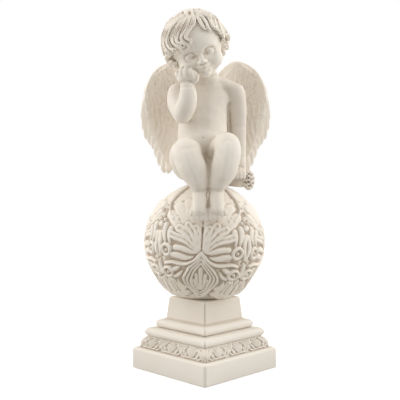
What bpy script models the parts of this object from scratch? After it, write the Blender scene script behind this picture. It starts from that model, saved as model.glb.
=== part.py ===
"""Stone cherub seated on an ornamented globe, which stands on a square stepped plinth.

Metres, +Z up. The origin is the centre of the plinth's underside. The cherub faces -Y, and so does one
corner of the plinth. The figure and its globe are one casting; the plinth is another.
"""

import math

import bmesh
import bpy
from mathutils import Matrix, Vector

# Plinth, from the ground up. A side is the full width of the square at that level.
SLAB_SIDE = 0.1755
SLAB_HEIGHT = 0.035
SLAB_ROUNDING = 0.0045
FRIEZE_FOOT_SIDE = 0.158
FRIEZE_TOP_SIDE = 0.141
FRIEZE_HEIGHT = 0.019
FRIEZE_BULGE = 0.0025
LOWER_ROLL_SIDE = 0.146
LOWER_ROLL_HEIGHT = 0.014
ROLL_JOINT = 0.0005
UPPER_ROLL_SIDE = 0.119
UPPER_ROLL_HEIGHT = 0.014
LEDGE_SIDE = 0.101
LEDGE_RISE = 0.0006
COVE_HEIGHT = 0.004
COVE_REACH = 0.003
BLOCK_FOOT_SIDE = 0.093
BLOCK_TOP_SIDE = 0.0865
BLOCK_HEIGHT = 0.035
BLOCK_ROUNDING = 0.003

# Carving of the frieze
LEAVES_PER_SIDE = 5
LEAF_LIFT = 0.0009
LEAF_THICKNESS = 0.0046

# Globe
GLOBE_RADIUS = 0.101
GLOBE_BED_RADIUS = 0.034
BED_JOINT = 0.0003
RELIEF_LIFT = 0.003
PANELS = 4

# Figure. FIGURE_HEIGHT is from the seat on the globe's crown to the top of the hair, and the figure's own
# points are in parts of it, CARVED_HEIGHT parts to the whole.
FIGURE_HEIGHT = 0.287
CARVED_HEIGHT = 287.0
SEAT_LIFT = 0.003

# Casting detail: the grain of the fused skin, the facets it keeps, and how far round the face they stay finer
BODY_GRAIN = 0.0024
CAST_GRAIN = 0.0019
CAST_TRIANGLES = 7300
FACE_REACH = 0.065
FACE_CARE = 0.06

STONE = (0.80, 0.75, 0.69, 1.0)
STONE_ROUGHNESS = 0.85

UNIT = FIGURE_HEIGHT / CARVED_HEIGHT
PLINTH_TOP = (
    SLAB_HEIGHT + FRIEZE_HEIGHT + LOWER_ROLL_HEIGHT + UPPER_ROLL_HEIGHT + COVE_HEIGHT + BLOCK_HEIGHT
)
BED_HEIGHT = PLINTH_TOP + BED_JOINT
GLOBE_CENTRE = Vector((0, 0, BED_HEIGHT + math.sqrt(GLOBE_RADIUS**2 - GLOBE_BED_RADIUS**2)))
SEAT = GLOBE_CENTRE + Vector((0, 0, GLOBE_RADIUS + SEAT_LIFT))
FRONT = Vector((0, -1, 0))


def clear_scene():
    for old in list(bpy.data.objects):
        bpy.data.objects.remove(old)


def stone_material(name):
    material = bpy.data.materials.new(name)
    material.use_nodes = True
    shader = material.node_tree.nodes["Principled BSDF"]
    shader.inputs["Base Color"].default_value = STONE
    shader.inputs["Roughness"].default_value = STONE_ROUGHNESS
    shader.inputs["Metallic"].default_value = 0.0
    return material


def new_object(name, bm, material=None):
    mesh = bpy.data.meshes.new(name)
    bmesh.ops.recalc_face_normals(bm, faces=bm.faces)
    bm.to_mesh(mesh)
    bm.free()
    if material:
        mesh.materials.append(material)
    obj = bpy.data.objects.new(name, mesh)
    bpy.context.scene.collection.objects.link(obj)
    return obj


# Clay: closed lumps of mesh, laid over each other and fused later


def smooth_path(points, steps):
    """Points along a Catmull-Rom curve. Each point may carry radii after its x, y, z."""
    rows = [tuple(p) for p in points]
    padded = [rows[0]] + rows + [rows[-1]]
    path = []
    for a, b, c, d in zip(padded, padded[1:], padded[2:], padded[3:]):
        for step in range(steps):
            t = step / steps
            path.append(
                [
                    0.5 * (2 * q + (r - p) * t + (2 * p - 5 * q + 4 * r - s) * t * t
                           + (3 * q - p - 3 * r + s) * t**3)
                    for p, q, r, s in zip(a, b, c, d)
                ]
            )
    path.append(list(rows[-1]))
    return path


def tube(bm, spine, widths, depths, facing, sides=12):
    """A closed tube along the spine. widths are its half widths, depths its half thickness towards facing."""
    rings = []
    last = len(spine) - 1
    for i, centre in enumerate(spine):
        along = (spine[min(i + 1, last)] - spine[max(i - 1, 0)]).normalized()
        towards = facing(centre) if callable(facing) else facing
        across = along.cross(towards).normalized()
        out = across.cross(along)
        ring = []
        for k in range(sides):
            angle = math.tau * k / sides
            offset = across * (widths[i] * math.cos(angle)) + out * (depths[i] * math.sin(angle))
            ring.append(bm.verts.new(centre + offset))
        rings.append(ring)
    for near, far in zip(rings, rings[1:]):
        for k in range(sides):
            j = (k + 1) % sides
            bm.faces.new((near[k], near[j], far[j], far[k]))
    bm.faces.new(rings[0][::-1])
    bm.faces.new(rings[-1])


def limb(bm, joints, steps=5, sides=16):
    """A rounded limb through joints of (x, y, z, radius)."""
    path = smooth_path(joints, steps)
    spine = [Vector(p[:3]) for p in path]
    radii = [p[3] for p in path]
    for at_start in (True, False):
        end, inner, radius = (
            (spine[0], spine[1], radii[0]) if at_start else (spine[-1], spine[-2], radii[-1])
        )
        outward = (end - inner).normalized()
        for angle in (30, 55, 75):
            cap = end + outward * (radius * math.sin(math.radians(angle)))
            narrow = radius * math.cos(math.radians(angle))
            if at_start:
                spine.insert(0, cap)
                radii.insert(0, narrow)
            else:
                spine.append(cap)
                radii.append(narrow)
    along = spine[-1] - spine[0]
    facing = Vector((0, 0, 1)) if abs(along.normalized().z) < 0.8 else Vector((0, 1, 0))
    tube(bm, spine, radii, radii, facing, sides)


def lump(bm, centre, radii, turn=None):
    """An ellipsoid."""
    shape = Matrix.Translation(centre) @ (turn or Matrix()) @ Matrix.Diagonal((*radii, 1))
    bmesh.ops.create_icosphere(bm, subdivisions=3, radius=1, matrix=shape)


def blade(bm, path, width, thickness, facing, sides=8, root=0.45, belly=0.62):
    """A feather, petal or leaf lobe along the path: narrow at its root, widest at belly, round at its tip."""
    count = len(path) - 1
    widths = []
    for i in range(count + 1):
        t = i / count
        if t < belly:
            share = root + (1 - root) * math.sin(0.5 * math.pi * t / belly)
        else:
            share = math.sqrt(max(0.0, 1 - ((t - belly) / (1.02 - belly)) ** 2))
        widths.append(width * max(share, 0.12))
    depths = [thickness * (0.35 + 0.65 * min(1.0, w / width)) for w in widths]
    tube(bm, path, widths, depths, facing, sides)


def mesh_of(obj):
    """The object's mesh with its modifiers applied, and the object gone."""
    graph = bpy.context.evaluated_depsgraph_get()
    mesh = bpy.data.meshes.new_from_object(obj.evaluated_get(graph))
    bpy.data.objects.remove(obj)
    return mesh


def fuse(obj, grain, smoothing):
    """Makes one skin of the object's lumps, and softens the joins."""
    skin = obj.modifiers.new("Skin", "REMESH")
    skin.mode = "VOXEL"
    skin.voxel_size = grain
    skin.adaptivity = 0
    soften = obj.modifiers.new("Soften", "SMOOTH")
    soften.factor = 0.5
    soften.iterations = smoothing


# Figure


def figure_point(x, y, z):
    """A point of the figure, whose own zero is the globe's crown."""
    return SEAT + Vector((x, y, z)) * UNIT


def figure_joints(rows):
    """Rows of x, y, z, radius in the figure's own measure, as joints for limb()."""
    return [(*figure_point(x, y, z), radius * UNIT) for x, y, z, radius in rows]


HEAD_CENTRE = (-10, -15, 208)
HEAD_ROLL = math.radians(-18)
HEAD_NOD = math.radians(16)
HEAD_TURN = Matrix.Rotation(HEAD_ROLL, 4, "Y") @ Matrix.Rotation(HEAD_NOD, 4, "X")


def head_point(x, y, z):
    """A point of the head: x to the viewer's right, y forward, z up, from between the ears."""
    return figure_point(*HEAD_CENTRE) + HEAD_TURN.to_3x3() @ (Vector((x, -y, z)) * UNIT)


def head_lump(bm, centre, radii):
    lump(bm, head_point(*centre), [r * UNIT for r in radii], HEAD_TURN)


def torso(bm):
    """Rows of z, centre x, centre y, half width and half depth, from the seat to the neck."""
    rows = [
        (2, -1, 10, 34, 24),
        (16, -2, 9, 48, 35),
        (36, -2, 7, 48, 37),
        (64, -3, -1, 43, 38),
        (96, -3, 0, 41, 34),
        (124, -1, 3, 41, 30),
        (144, 3, 5, 42, 25),
        (160, 4, 5, 30, 20),
        (174, 2, 2, 21, 18),
        (192, -3, -4, 20, 18),
    ]
    path = smooth_path([(x, y, z, w, d) for z, x, y, w, d in rows], 3)
    spine = [figure_point(*p[:3]) for p in path]
    tube(bm, spine, [p[3] * UNIT for p in path], [p[4] * UNIT for p in path], FRONT, 24)
    shoulders = [(-45, 4, 147), (-20, 5, 157), (4, 6, 162), (30, 7, 158), (52, 7, 149)]
    limb(bm, figure_joints([(*place, 15) for place in shoulders]))


def legs(bm):
    left = [(-25, 4, 26, 31), (-30, -34, 36, 29), (-29, -64, 41, 24), (-26, -78, 29, 23.5),
            (-18, -84, 12, 22.5), (-11, -88, -6, 16.5), (-8, -88, -19, 12)]
    right = [(25, 4, 26, 31), (31, -34, 44, 26), (35, -62, 53, 22), (36.5, -76, 42, 21.5),
             (33.5, -82, 27, 21.5), (29, -85, 11, 21), (22, -88, -6, 16), (18, -88, -18, 12)]
    for side, rows in ((-1, left), (1, right)):
        limb(bm, figure_joints(rows))
        foot(bm, side, rows[-1])


def foot(bm, side, ankle):
    """A plump foot pointing down the front of the globe from the ankle, with its five toes."""
    x, y, z, _ = ankle
    lump(bm, figure_point(x, y + 9, z - 6), [r * UNIT for r in (10, 11, 10)])
    instep = [(x, y + 2, z - 4, 11.5), (x - side, y - 6, z - 16, 11), (x - 2 * side, y - 14, z - 29, 10)]
    limb(bm, figure_joints(instep))
    for i in range(5):
        size = 4.6 - 0.45 * i
        across = side * (4.4 * i - 8.2)
        reach = 9.5 - 1.1 * abs(i - 0.5)
        root = (x + across - side, y - 14, z - 30, size)
        tip = (x + across * 1.1 - side, y - 17 - 0.2 * reach, z - 32 - reach, size)
        limb(bm, figure_joints([root, tip]), steps=2, sides=8)


def arms(bm):
    resting = [(53, 7, 147, 17), (57, 11, 120, 15.5), (58, 15, 90, 14), (59, 14, 62, 13),
               (61, 9, 38, 10.5), (62, 3, 24, 9)]
    limb(bm, figure_joints(resting))
    limb(bm, figure_joints([(62, 2, 19, 9), (64, -6, 14, 8), (66, -12, 9, 6)]))
    upper = [(-46, 4, 147, 17), (-46, -14, 128, 17), (-38, -38, 107, 15.5)]
    limb(bm, figure_joints(upper))
    forearm = [(-36, -41, 105, 15.5), (-29, -48, 121, 16), (-27, -48, 138, 14.5), (-29, -44, 154, 11.5)]
    limb(bm, figure_joints(forearm))
    lump(bm, figure_point(-30, -42, 165), [r * UNIT for r in (14, 10, 9)])
    for i in range(4):
        root = (-39 + 1.5 * i, -49 + 6 * i, 163, 4.4)
        tip = (-49 + 1.5 * i, -42 + 8 * i, 176 - i, 3.6)
        bend = (root[0] - 7, root[1] + 2, 169, 4.4)
        limb(bm, figure_joints([root, bend, tip]), steps=3, sides=8)


def head(bm):
    """A calm child's head in broad forms: cranium, full cheeks, small nose, lips and chin."""
    head_lump(bm, (0, -6, 22), (45, 51, 45))
    head_lump(bm, (0, 10, -4), (37, 33, 31))
    for side in (-1, 1):
        head_lump(bm, (20 * side, 19, -8), (19, 20, 18))
        head_lump(bm, (15 * side, 34, 4), (9, 7.5, 6))
        head_lump(bm, (14 * side, 33, 15), (17, 8, 7))
        head_lump(bm, (42 * side, -4, 2), (5, 8, 12))
    head_lump(bm, (0, 27, -27), (12, 12, 10))
    head_lump(bm, (0, 39.5, -3), (4.5, 6, 9))
    head_lump(bm, (0, 44.5, -9), (6, 5.5, 4.5))
    head_lump(bm, (0, 37.5, -18.5), (9, 4.5, 2.6))
    head_lump(bm, (0, 36, -22.5), (7.5, 4.5, 3))


def quiver(bm):
    """The little quiver that the cherub sits on, its knobbly oval mouth at the viewer's right."""
    limb(bm, figure_joints([(-8, 44, 4, 10), (24, 25, 4, 13.5), (64, 6, -1, 13)]))
    tilt = Matrix.Rotation(math.radians(12), 4, "Z")
    lump(bm, figure_point(75, -2, -1.5), [r * UNIT for r in (10.5, 9, 17.5)], tilt)
    middle, step = Vector((75, -9.5, -1.5)), tilt.to_3x3()
    for ring, count in ((0, 1), (0.46, 5), (0.86, 10)):
        for k in range(count):
            angle = math.tau * (k + ring) / count
            spot = Vector((8.2 * ring * math.cos(angle), 3.6 * ring**2, 14.8 * ring * math.sin(angle)))
            lump(bm, figure_point(*(middle + step @ spot)), [r * UNIT for r in (2.9, 4.2, 2.9)])


# Wings. The wing's sheet bows back between its root and its outer edge, and forward away from mid height.

SPINE_X = 2
WING_ROOT_X = 18
WING_SPAN = 94
WING_BACK = 33
WING_BOW = 17
WING_CUP = 18
WING_MID_HEIGHT = 120
WING_ARC = 0.0006

# Height on the wing, and how far out its inner and outer edges are there
WING_EDGES = [
    (18, 60, 70), (26, 56, 74), (38, 48, 78), (52, 40, 83), (66, 32, 91), (80, 26, 97), (100, 20, 102),
    (120, 16, 103), (140, 14, 103), (160, 16, 99), (174, 22, 94), (187, 30, 87), (197, 38, 76), (204, 50, 62),
]
ARCH = [(14, 134, 9.5), (20, 162, 9.5), (32, 185, 8), (53, 202, 6.5), (75, 199, 5.5), (91, 184, 5),
        (100, 162, 4.5), (104, 134, 4)]


def wing_point(side, x, z, lift=0.0):
    """A point of the wing's sheet, x out from the spine, lifted towards the front."""
    share = min(max((x - WING_ROOT_X) / WING_SPAN, 0.0), 1.0)
    bow = WING_BOW * math.sin(math.pi * share) - WING_CUP * share**2
    return figure_point(SPINE_X + side * x, WING_BACK + bow - WING_ARC * (z - WING_MID_HEIGHT) ** 2 - lift, z)


def sheet(bm, front, back):
    """A closed slab between two equal grids of points."""
    rows, columns = len(front), len(front[0])
    layers = [[[bm.verts.new(p) for p in row] for row in grid] for grid in (front, back)]
    rim = [(0, j) for j in range(columns)] + [(i, columns - 1) for i in range(1, rows)]
    rim += [(rows - 1, j) for j in range(columns - 2, -1, -1)] + [(i, 0) for i in range(rows - 2, 0, -1)]
    for grid in layers:
        for i in range(rows - 1):
            for j in range(columns - 1):
                bm.faces.new((grid[i][j], grid[i][j + 1], grid[i + 1][j + 1], grid[i + 1][j]))
    for (a, b), (c, d) in zip(rim, rim[1:] + rim[:1]):
        bm.faces.new((layers[0][a][b], layers[0][c][d], layers[1][c][d], layers[1][a][b]))


def wing_blade(bm, side, root, tip, width, thickness, lift, drift=0.0):
    """A feather from root to tip on the wing's sheet; drift bends it sideways."""
    path = []
    for i in range(7):
        t = i / 6
        x = root[0] + (tip[0] - root[0]) * t + drift * math.sin(math.pi * t)
        z = root[1] + (tip[1] - root[1]) * t
        path.append(wing_point(side, x, z, lift * (0.35 + 0.65 * t)))
    blade(bm, path, width * UNIT, thickness * UNIT, FRONT)


def row_of(first, last, count):
    """count points spread evenly from first to last."""
    return [[a + (b - a) * i / (count - 1) for a, b in zip(first, last)] for i in range(count)]


def wing(bm, side):
    limb(bm, [(*wing_point(side, x, z, 2), r * UNIT) for x, z, r in ARCH])
    grids = [
        [[wing_point(side, inner + (outer - inner) * j / 8, z, lift) for j in range(9)]
         for z, inner, outer in WING_EDGES]
        for lift in (2.6, -2.6)
    ]
    sheet(bm, *grids)
    tips = [(104, 92), (101, 74), (95, 58), (88, 46), (83, 34), (77, 24), (71, 14), (62, 15), (54, 24)]
    roots = row_of((98, 150), (38, 120), len(tips))
    for face in (1, -1):
        for i, (root, tip) in enumerate(zip(roots, tips)):
            wing_blade(bm, side, root, tip, 8.5, 2.4, (2.2 + 0.3 * i) * face, drift=4 - 0.6 * i)
        for root, tip in zip(row_of((98, 166), (36, 140), 7), row_of((100, 108), (48, 78), 7)):
            wing_blade(bm, side, root, tip, 8.5, 2.4, 4.6 * face, drift=3)
        for root, tip in zip(row_of((95, 178), (34, 154), 7), row_of((98, 136), (40, 108), 7)):
            wing_blade(bm, side, root, tip, 8, 2.2, 6.4 * face, drift=2)
        for root, tip in zip(row_of((86, 187), (32, 168), 6), row_of((92, 158), (36, 134), 6)):
            wing_blade(bm, side, root, tip, 7.5, 2.2, 7.8 * face, drift=2)


# Hair: locks laid over the scalp, each along (turn, fall) places. turn goes round from the face towards the
# viewer's right, fall goes down from the crown, both in degrees.

HAIR_CENTRE = (0, -8, 22)
HAIR_RADII = (46, 52, 48)

FRONT_LOCKS = [
    # the fringe, swept to the left and curled back under
    (((24, 24), (-16, 36), (-42, 53), (-38, 70), (-14, 79)), 6.0, 6.0),
    (((22, 32), (-8, 42), (-27, 55), (-22, 68), (-4, 76)), 5.2, 5.5),
    (((18, 42), (2, 47), (-12, 57), (-8, 67), (3, 71)), 4.6, 5.0),
    (((14, 50), (4, 55), (0, 62), (6, 67)), 4.0, 4.0),
    # the left temple
    (((14, 18), (-38, 34), (-66, 54), (-68, 74), (-52, 89)), 6.4, 6.5),
    (((6, 14), (-54, 32), (-82, 54), (-86, 78), (-68, 96)), 6.4, 7.0),
    (((-10, 12), (-80, 32), (-100, 58), (-98, 84), (-84, 98), (-92, 108)), 6.6, 8.0),
    # the smooth tuft over the forehead, then the right temple
    (((28, 22), (25, 38), (22, 54), (26, 66)), 6.2, 5.0),
    (((32, 22), (44, 38), (42, 54), (34, 64)), 5.4, 5.0),
    (((36, 22), (58, 40), (62, 58), (50, 72)), 5.4, 5.5),
    (((40, 22), (70, 42), (76, 62), (66, 80), (74, 90)), 5.8, 6.5),
    (((48, 20), (84, 42), (92, 66), (82, 86), (92, 98)), 6.0, 8.0),
    (((60, 18), (98, 42), (108, 68), (98, 90), (104, 104)), 6.2, 8.0),
    # the curls by the ears
    (((-78, 90), (-70, 100), (-76, 110), (-66, 118)), 4.6, 5.0),
    (((-92, 96), (-84, 108), (-92, 118), (-82, 126)), 5.2, 6.0),
    (((-106, 90), (-104, 106), (-110, 120), (-100, 132)), 5.4, 5.0),
    (((84, 84), (74, 96), (80, 108), (92, 106)), 4.6, 6.0),
    (((96, 94), (92, 110), (98, 122), (88, 130)), 5.2, 7.0),
    (((110, 92), (108, 110), (114, 124), (104, 134)), 5.4, 5.0),
]


def scalp_point(turn, fall, lift):
    a, b = math.radians(turn), math.radians(fall)
    rx, ry, rz = (r + lift for r in HAIR_RADII)
    cx, cy, cz = HAIR_CENTRE
    return head_point(
        cx + rx * math.sin(b) * math.sin(a),
        cy + ry * math.sin(b) * math.cos(a),
        cz + rz * math.cos(b),
    )


def lock(bm, places, width, lift):
    """A lock of hair through its places, highest in its middle and thin at its end."""
    path = smooth_path(places, 4)
    count = len(path) - 1
    spine, widths = [], []
    for i, (turn, fall) in enumerate(path):
        t = i / count
        spine.append(scalp_point(turn, fall, lift * math.sin(math.pi * (0.12 + 0.76 * t))))
        start = 0.35 * (1 - math.sin(0.5 * math.pi * min(1.0, t / 0.6)))
        end = 0.7 * max(0.0, (t - 0.6) / 0.4) ** 2
        widths.append(width * (1 - start - end) * UNIT)
    centre = head_point(*HAIR_CENTRE)
    tube(bm, spine, widths, [0.75 * w for w in widths], lambda p: (p - centre).normalized(), 8)


def back_locks():
    """Three tiers of waved locks over the back of the head."""
    locks = []
    for start, end, count, wave in ((12, 74, 8, 8), (58, 108, 9, -8), (94, 138, 10, 8)):
        for i in range(count):
            turn = 114 + 132 * i / (count - 1)
            places = [(turn + wave * sway, start + (end - start) * t / 3)
                      for t, sway in enumerate((0, 1, -1, 1))]
            locks.append((places, 6.2, 6.0))
    return locks


def hair(bm):
    head_lump(bm, (0, -11, 25), (48, 50, 46))
    for places, width, lift in FRONT_LOCKS + back_locks():
        lock(bm, places, width, lift)


# Globe and its relief


def globe_point(turn, rise, lift=0.0):
    """A point over the globe: turn goes round from the front, rise up from its middle, both in degrees."""
    a, b = math.radians(turn), math.radians(rise)
    reach = GLOBE_RADIUS + lift
    return GLOBE_CENTRE + reach * Vector(
        (math.cos(b) * math.sin(a), -math.cos(b) * math.cos(a), math.sin(b))
    )


def from_globe(point):
    return (point - GLOBE_CENTRE).normalized()


def globe_blade(bm, turn, root, tip, width, lift, thickness=RELIEF_LIFT, bend=0.0, steps=6):
    """A leaf lobe on the globe from root to tip, each (turn, rise), about the panel at turn."""
    path = []
    for i in range(steps + 1):
        t = i / steps
        side = root[0] + (tip[0] - root[0]) * t + bend * math.sin(math.pi * t)
        rise = root[1] + (tip[1] - root[1]) * t
        path.append(globe_point(turn + side, rise, lift * (0.3 + 0.7 * t)))
    blade(bm, path, width, thickness, from_globe)


def globe_cord(bm, turn, places, thickness, lift, steps=4):
    """A raised line on the globe through places, each (turn, rise)."""
    path = [globe_point(turn + a, b, lift) for a, b in smooth_path(places, steps)]
    size = [thickness] * len(path)
    size[0] = size[-1] = thickness * 0.5
    tube(bm, path, size, size, from_globe, 6)


def volute(bm, turn, centre, size, hand, tail):
    """A scroll: a spiral round centre that runs out into a tail, all as (turn, rise) on the globe."""
    places = []
    for i in range(11):
        angle = hand * (math.tau * 1.35 * i / 10) + math.radians(tail[2])
        reach = size * (0.16 + 0.84 * i / 10)
        places.append((centre[0] + reach * math.cos(angle) / math.cos(math.radians(centre[1])),
                       centre[1] + reach * math.sin(angle)))
    places.append((tail[0], tail[1]))
    globe_cord(bm, turn, places, 0.0023, 0.0018, steps=3)


def panel(bm, turn):
    """One panel of the globe's carving: a palmette over an onion-shaped shell, with scrolls at its sides."""
    for side in (-1, 1):
        for tip, width, lift in (
            ((7, 21), 0.0085, 0.0030),
            ((19, 17), 0.0085, 0.0030),
            ((30, 8), 0.0080, 0.0028),
            ((36, -4), 0.0072, 0.0024),
        ):
            globe_blade(bm, turn, (2.5 * side, -12), (tip[0] * side, tip[1]), width, lift)
        for tip, width in (((9, 44), 0.016), ((27, 45), 0.016), ((45, 36), 0.015)):
            globe_blade(bm, turn, (4 * side, -4), (tip[0] * side, tip[1]), width, 0.0006)
        globe_cord(bm, turn, [(1 * side, 14), (1 * side, -4), (4 * side, -16), (12 * side, -24),
                              (26 * side, -25)], 0.0022, 0.0022)
        volute(bm, turn, (33 * side, -31), 7.5, -side, (22 * side, -18, 90))
        volute(bm, turn, (46 * side, -17), 7.0, side, (43 * side, -34, -60))
        globe_blade(bm, turn, (32 * side, -42), (20 * side, -60), 0.0075, 0.0030, bend=5 * side)
        globe_blade(bm, turn, (40 * side, -38), (42 * side, -58), 0.0070, 0.0026)
        globe_blade(bm, turn, (44 * side, -6), (44 * side, 20), 0.0065, 0.0022, bend=-3 * side)
        for scale in (1.0, 0.72):
            across = side * scale
            shell = [(0, -16 - 6 * (1 - scale)), (8 * across, -24), (25 * across, -36), (22 * across, -50),
                     (0, -40 - 23 * scale)]
            globe_cord(bm, turn, shell, 0.0019, 0.0018)
        for i in range(3):
            globe_blade(bm, turn, (1.5 * side, -50), ((3 + 5 * i) * side, -30 - 3 * i), 0.0028, 0.0018)


def globe(bm):
    ball = Matrix.Translation(GLOBE_CENTRE) @ Matrix.Scale(GLOBE_RADIUS, 4)
    bmesh.ops.create_icosphere(bm, subdivisions=5, radius=1, matrix=ball)
    for i in range(PANELS):
        panel(bm, 360 * i / PANELS)


def bed_cutter():
    """What takes the globe off flat where it is bedded on the plinth."""
    bm = bmesh.new()
    deep = 2 * GLOBE_RADIUS
    place = Matrix.Translation((0, 0, BED_HEIGHT - deep / 2)) @ Matrix.Diagonal((2 * deep, 2 * deep, deep, 1))
    bmesh.ops.create_cube(bm, size=1, matrix=place)
    cutter = new_object("bed_cutter", bm)
    cutter.hide_render = True
    cutter.display_type = "WIRE"
    return cutter


def cherub_on_globe():
    soft = bmesh.new()
    torso(soft)
    legs(soft)
    arms(soft)
    head(soft)
    body = new_object("body", soft)
    fuse(body, BODY_GRAIN, 3)
    flesh = mesh_of(body)

    cast = bmesh.new()
    cast.from_mesh(flesh)
    bpy.data.meshes.remove(flesh)
    hair(cast)
    wing(cast, -1)
    wing(cast, 1)
    quiver(cast)
    globe(cast)
    lumps = new_object("lumps", cast)
    fuse(lumps, CAST_GRAIN, 1)
    skin = mesh_of(lumps)
    skin.name = "cherub_on_globe"
    skin.materials.append(stone_material("cherub_stone"))
    statue = bpy.data.objects.new("cherub_on_globe", skin)
    bpy.context.scene.collection.objects.link(statue)
    plain = statue.vertex_groups.new(name="plain")
    centre = head_point(0, 30, 0)
    for vertex in skin.vertices:
        near = max(0.0, 1 - (vertex.co - centre).length / FACE_REACH)
        plain.add([vertex.index], 1 - FACE_CARE * min(1.0, 2 * near), "REPLACE")
    thin = statue.modifiers.new("Facets", "DECIMATE")
    thin.ratio = CAST_TRIANGLES / (2 * len(skin.polygons))
    thin.vertex_group = "plain"
    thin.vertex_group_factor = 1
    bed = statue.modifiers.new("Bed", "BOOLEAN")
    bed.operation = "DIFFERENCE"
    bed.object = bed_cutter()


# Plinth


def square_ring(bm, side, height, rounding, segments=2):
    """A level square with rounded corners, turned so that one corner faces the front."""
    verts = []
    inner = side / 2 - rounding
    turn = Matrix.Rotation(math.radians(45), 3, "Z")
    for corner in range(4):
        middle = Matrix.Rotation(math.radians(90 * corner), 3, "Z") @ Vector((inner, inner, 0))
        for k in range(segments + 1):
            angle = math.radians(90 * corner + 90 * k / segments)
            spot = middle + rounding * Vector((math.cos(angle), math.sin(angle), 0))
            verts.append(bm.verts.new(turn @ spot + Vector((0, 0, height))))
    return verts


def quarter(centre_side, centre_height, radius, start, end, steps):
    """(side, height) along an arc of the profile, angles in degrees from outward."""
    return [
        (
            centre_side + 2 * radius * math.cos(math.radians(start + (end - start) * k / steps)),
            centre_height + radius * math.sin(math.radians(start + (end - start) * k / steps)),
        )
        for k in range(steps + 1)
    ]


def frieze_side(share):
    """Width of the carved band at a share of its height; it swells a little."""
    straight = FRIEZE_FOOT_SIDE + (FRIEZE_TOP_SIDE - FRIEZE_FOOT_SIDE) * share
    return straight + 2 * FRIEZE_BULGE * math.sin(math.pi * share)


def plinth_profile():
    """(side, height) from the underside's edge to the block's top edge."""
    rows = [(SLAB_SIDE - SLAB_ROUNDING / 2, 0), (SLAB_SIDE, SLAB_ROUNDING / 3)]
    rows += quarter(SLAB_SIDE - 2 * SLAB_ROUNDING, SLAB_HEIGHT - SLAB_ROUNDING, SLAB_ROUNDING, 0, 90, 3)
    height = SLAB_HEIGHT
    rows += [(frieze_side(share), height + FRIEZE_HEIGHT * share) for share in (0, 0.5, 0.97)]
    height += FRIEZE_HEIGHT
    radius = LOWER_ROLL_HEIGHT / 2
    rows += quarter(LOWER_ROLL_SIDE - 2 * radius, height + radius, radius, -80, 90, 5)
    height += LOWER_ROLL_HEIGHT
    radius = UPPER_ROLL_HEIGHT / 2
    rows += quarter(UPPER_ROLL_SIDE - 2 * radius, height + radius + ROLL_JOINT, radius, -80, 90, 5)
    height += UPPER_ROLL_HEIGHT
    rows += [
        (LEDGE_SIDE, height + LEDGE_RISE),
        (BLOCK_FOOT_SIDE + COVE_REACH, height + COVE_HEIGHT / 2),
        (BLOCK_FOOT_SIDE, height + COVE_HEIGHT),
    ]
    top = height + COVE_HEIGHT + BLOCK_HEIGHT
    rows += quarter(BLOCK_TOP_SIDE - 2 * BLOCK_ROUNDING, top - BLOCK_ROUNDING, BLOCK_ROUNDING, 0, 90, 3)
    return rows


def frieze_point(side, along, share, lift):
    """A point on the band of one side: along it from the middle, up it by a share, lifted off it."""
    half = frieze_side(share) / 2 + lift
    height = SLAB_HEIGHT + FRIEZE_HEIGHT * share
    turn = Matrix.Rotation(math.radians(45 + 90 * side), 3, "Z")
    return turn @ Vector((half, along, height))


def frieze_leaf(bm, side, middle, pitch, lean):
    """A curled leaf of the band: a bent stem with two lobes."""
    facing = Matrix.Rotation(math.radians(45 + 90 * side), 3, "Z") @ Vector((1, 0, 0.3))
    lobes = [
        ((-0.46, 0.16), (0.40, 0.80), 0.20, 0.20),
        ((-0.18, 0.22), (0.34, 0.30), 0.17, -0.08),
    ]
    for root, tip, width, bend in lobes:
        path = []
        for i in range(3):
            t = i / 2
            along = middle + lean * pitch * (root[0] + (tip[0] - root[0]) * t)
            share = root[1] + (tip[1] - root[1]) * t + bend * math.sin(math.pi * t)
            path.append(frieze_point(side, along, share, LEAF_LIFT * math.sin(math.pi * t)))
        blade(bm, path, width * pitch, LEAF_THICKNESS / 2, facing, sides=4)


def frieze(name):
    bm = bmesh.new()
    length = FRIEZE_TOP_SIDE * 0.94
    pitch = length / LEAVES_PER_SIDE
    for side in range(4):
        for i in range(LEAVES_PER_SIDE):
            middle = (i - (LEAVES_PER_SIDE - 1) / 2) * pitch
            frieze_leaf(bm, side, middle, pitch, 1 if i < LEAVES_PER_SIDE / 2 else -1)
    carving = new_object(name, bm)
    carving.hide_render = True
    carving.display_type = "WIRE"
    return carving


def plinth():
    bm = bmesh.new()
    rings = []
    for side, height in plinth_profile():
        rounding = SLAB_ROUNDING if height <= SLAB_HEIGHT else BLOCK_ROUNDING
        rings.append(square_ring(bm, side, height, rounding))
    for low, high in zip(rings, rings[1:]):
        for k in range(len(low)):
            j = (k + 1) % len(low)
            bm.faces.new((low[k], low[j], high[j], high[k]))
    bm.faces.new(rings[0][::-1])
    bm.faces.new(rings[-1])
    base = new_object("plinth", bm, stone_material("plinth_stone"))
    join = base.modifiers.new("Carving", "BOOLEAN")
    join.operation = "UNION"
    join.use_self = True
    join.object = frieze("frieze_leaves")


def main():
    clear_scene()
    cherub_on_globe()
    plinth()


main()
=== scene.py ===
"""The looks of the stone cherub on its globe and plinth: finely carved meshes in place of the faceted solids.

Metres, +Z up, the cherub facing -Y. The figure's own measure runs from the globe's crown to the hair's top.
"""

import math

import bmesh
import bpy
import numpy as np
from mathutils import Matrix, Vector, kdtree


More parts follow.
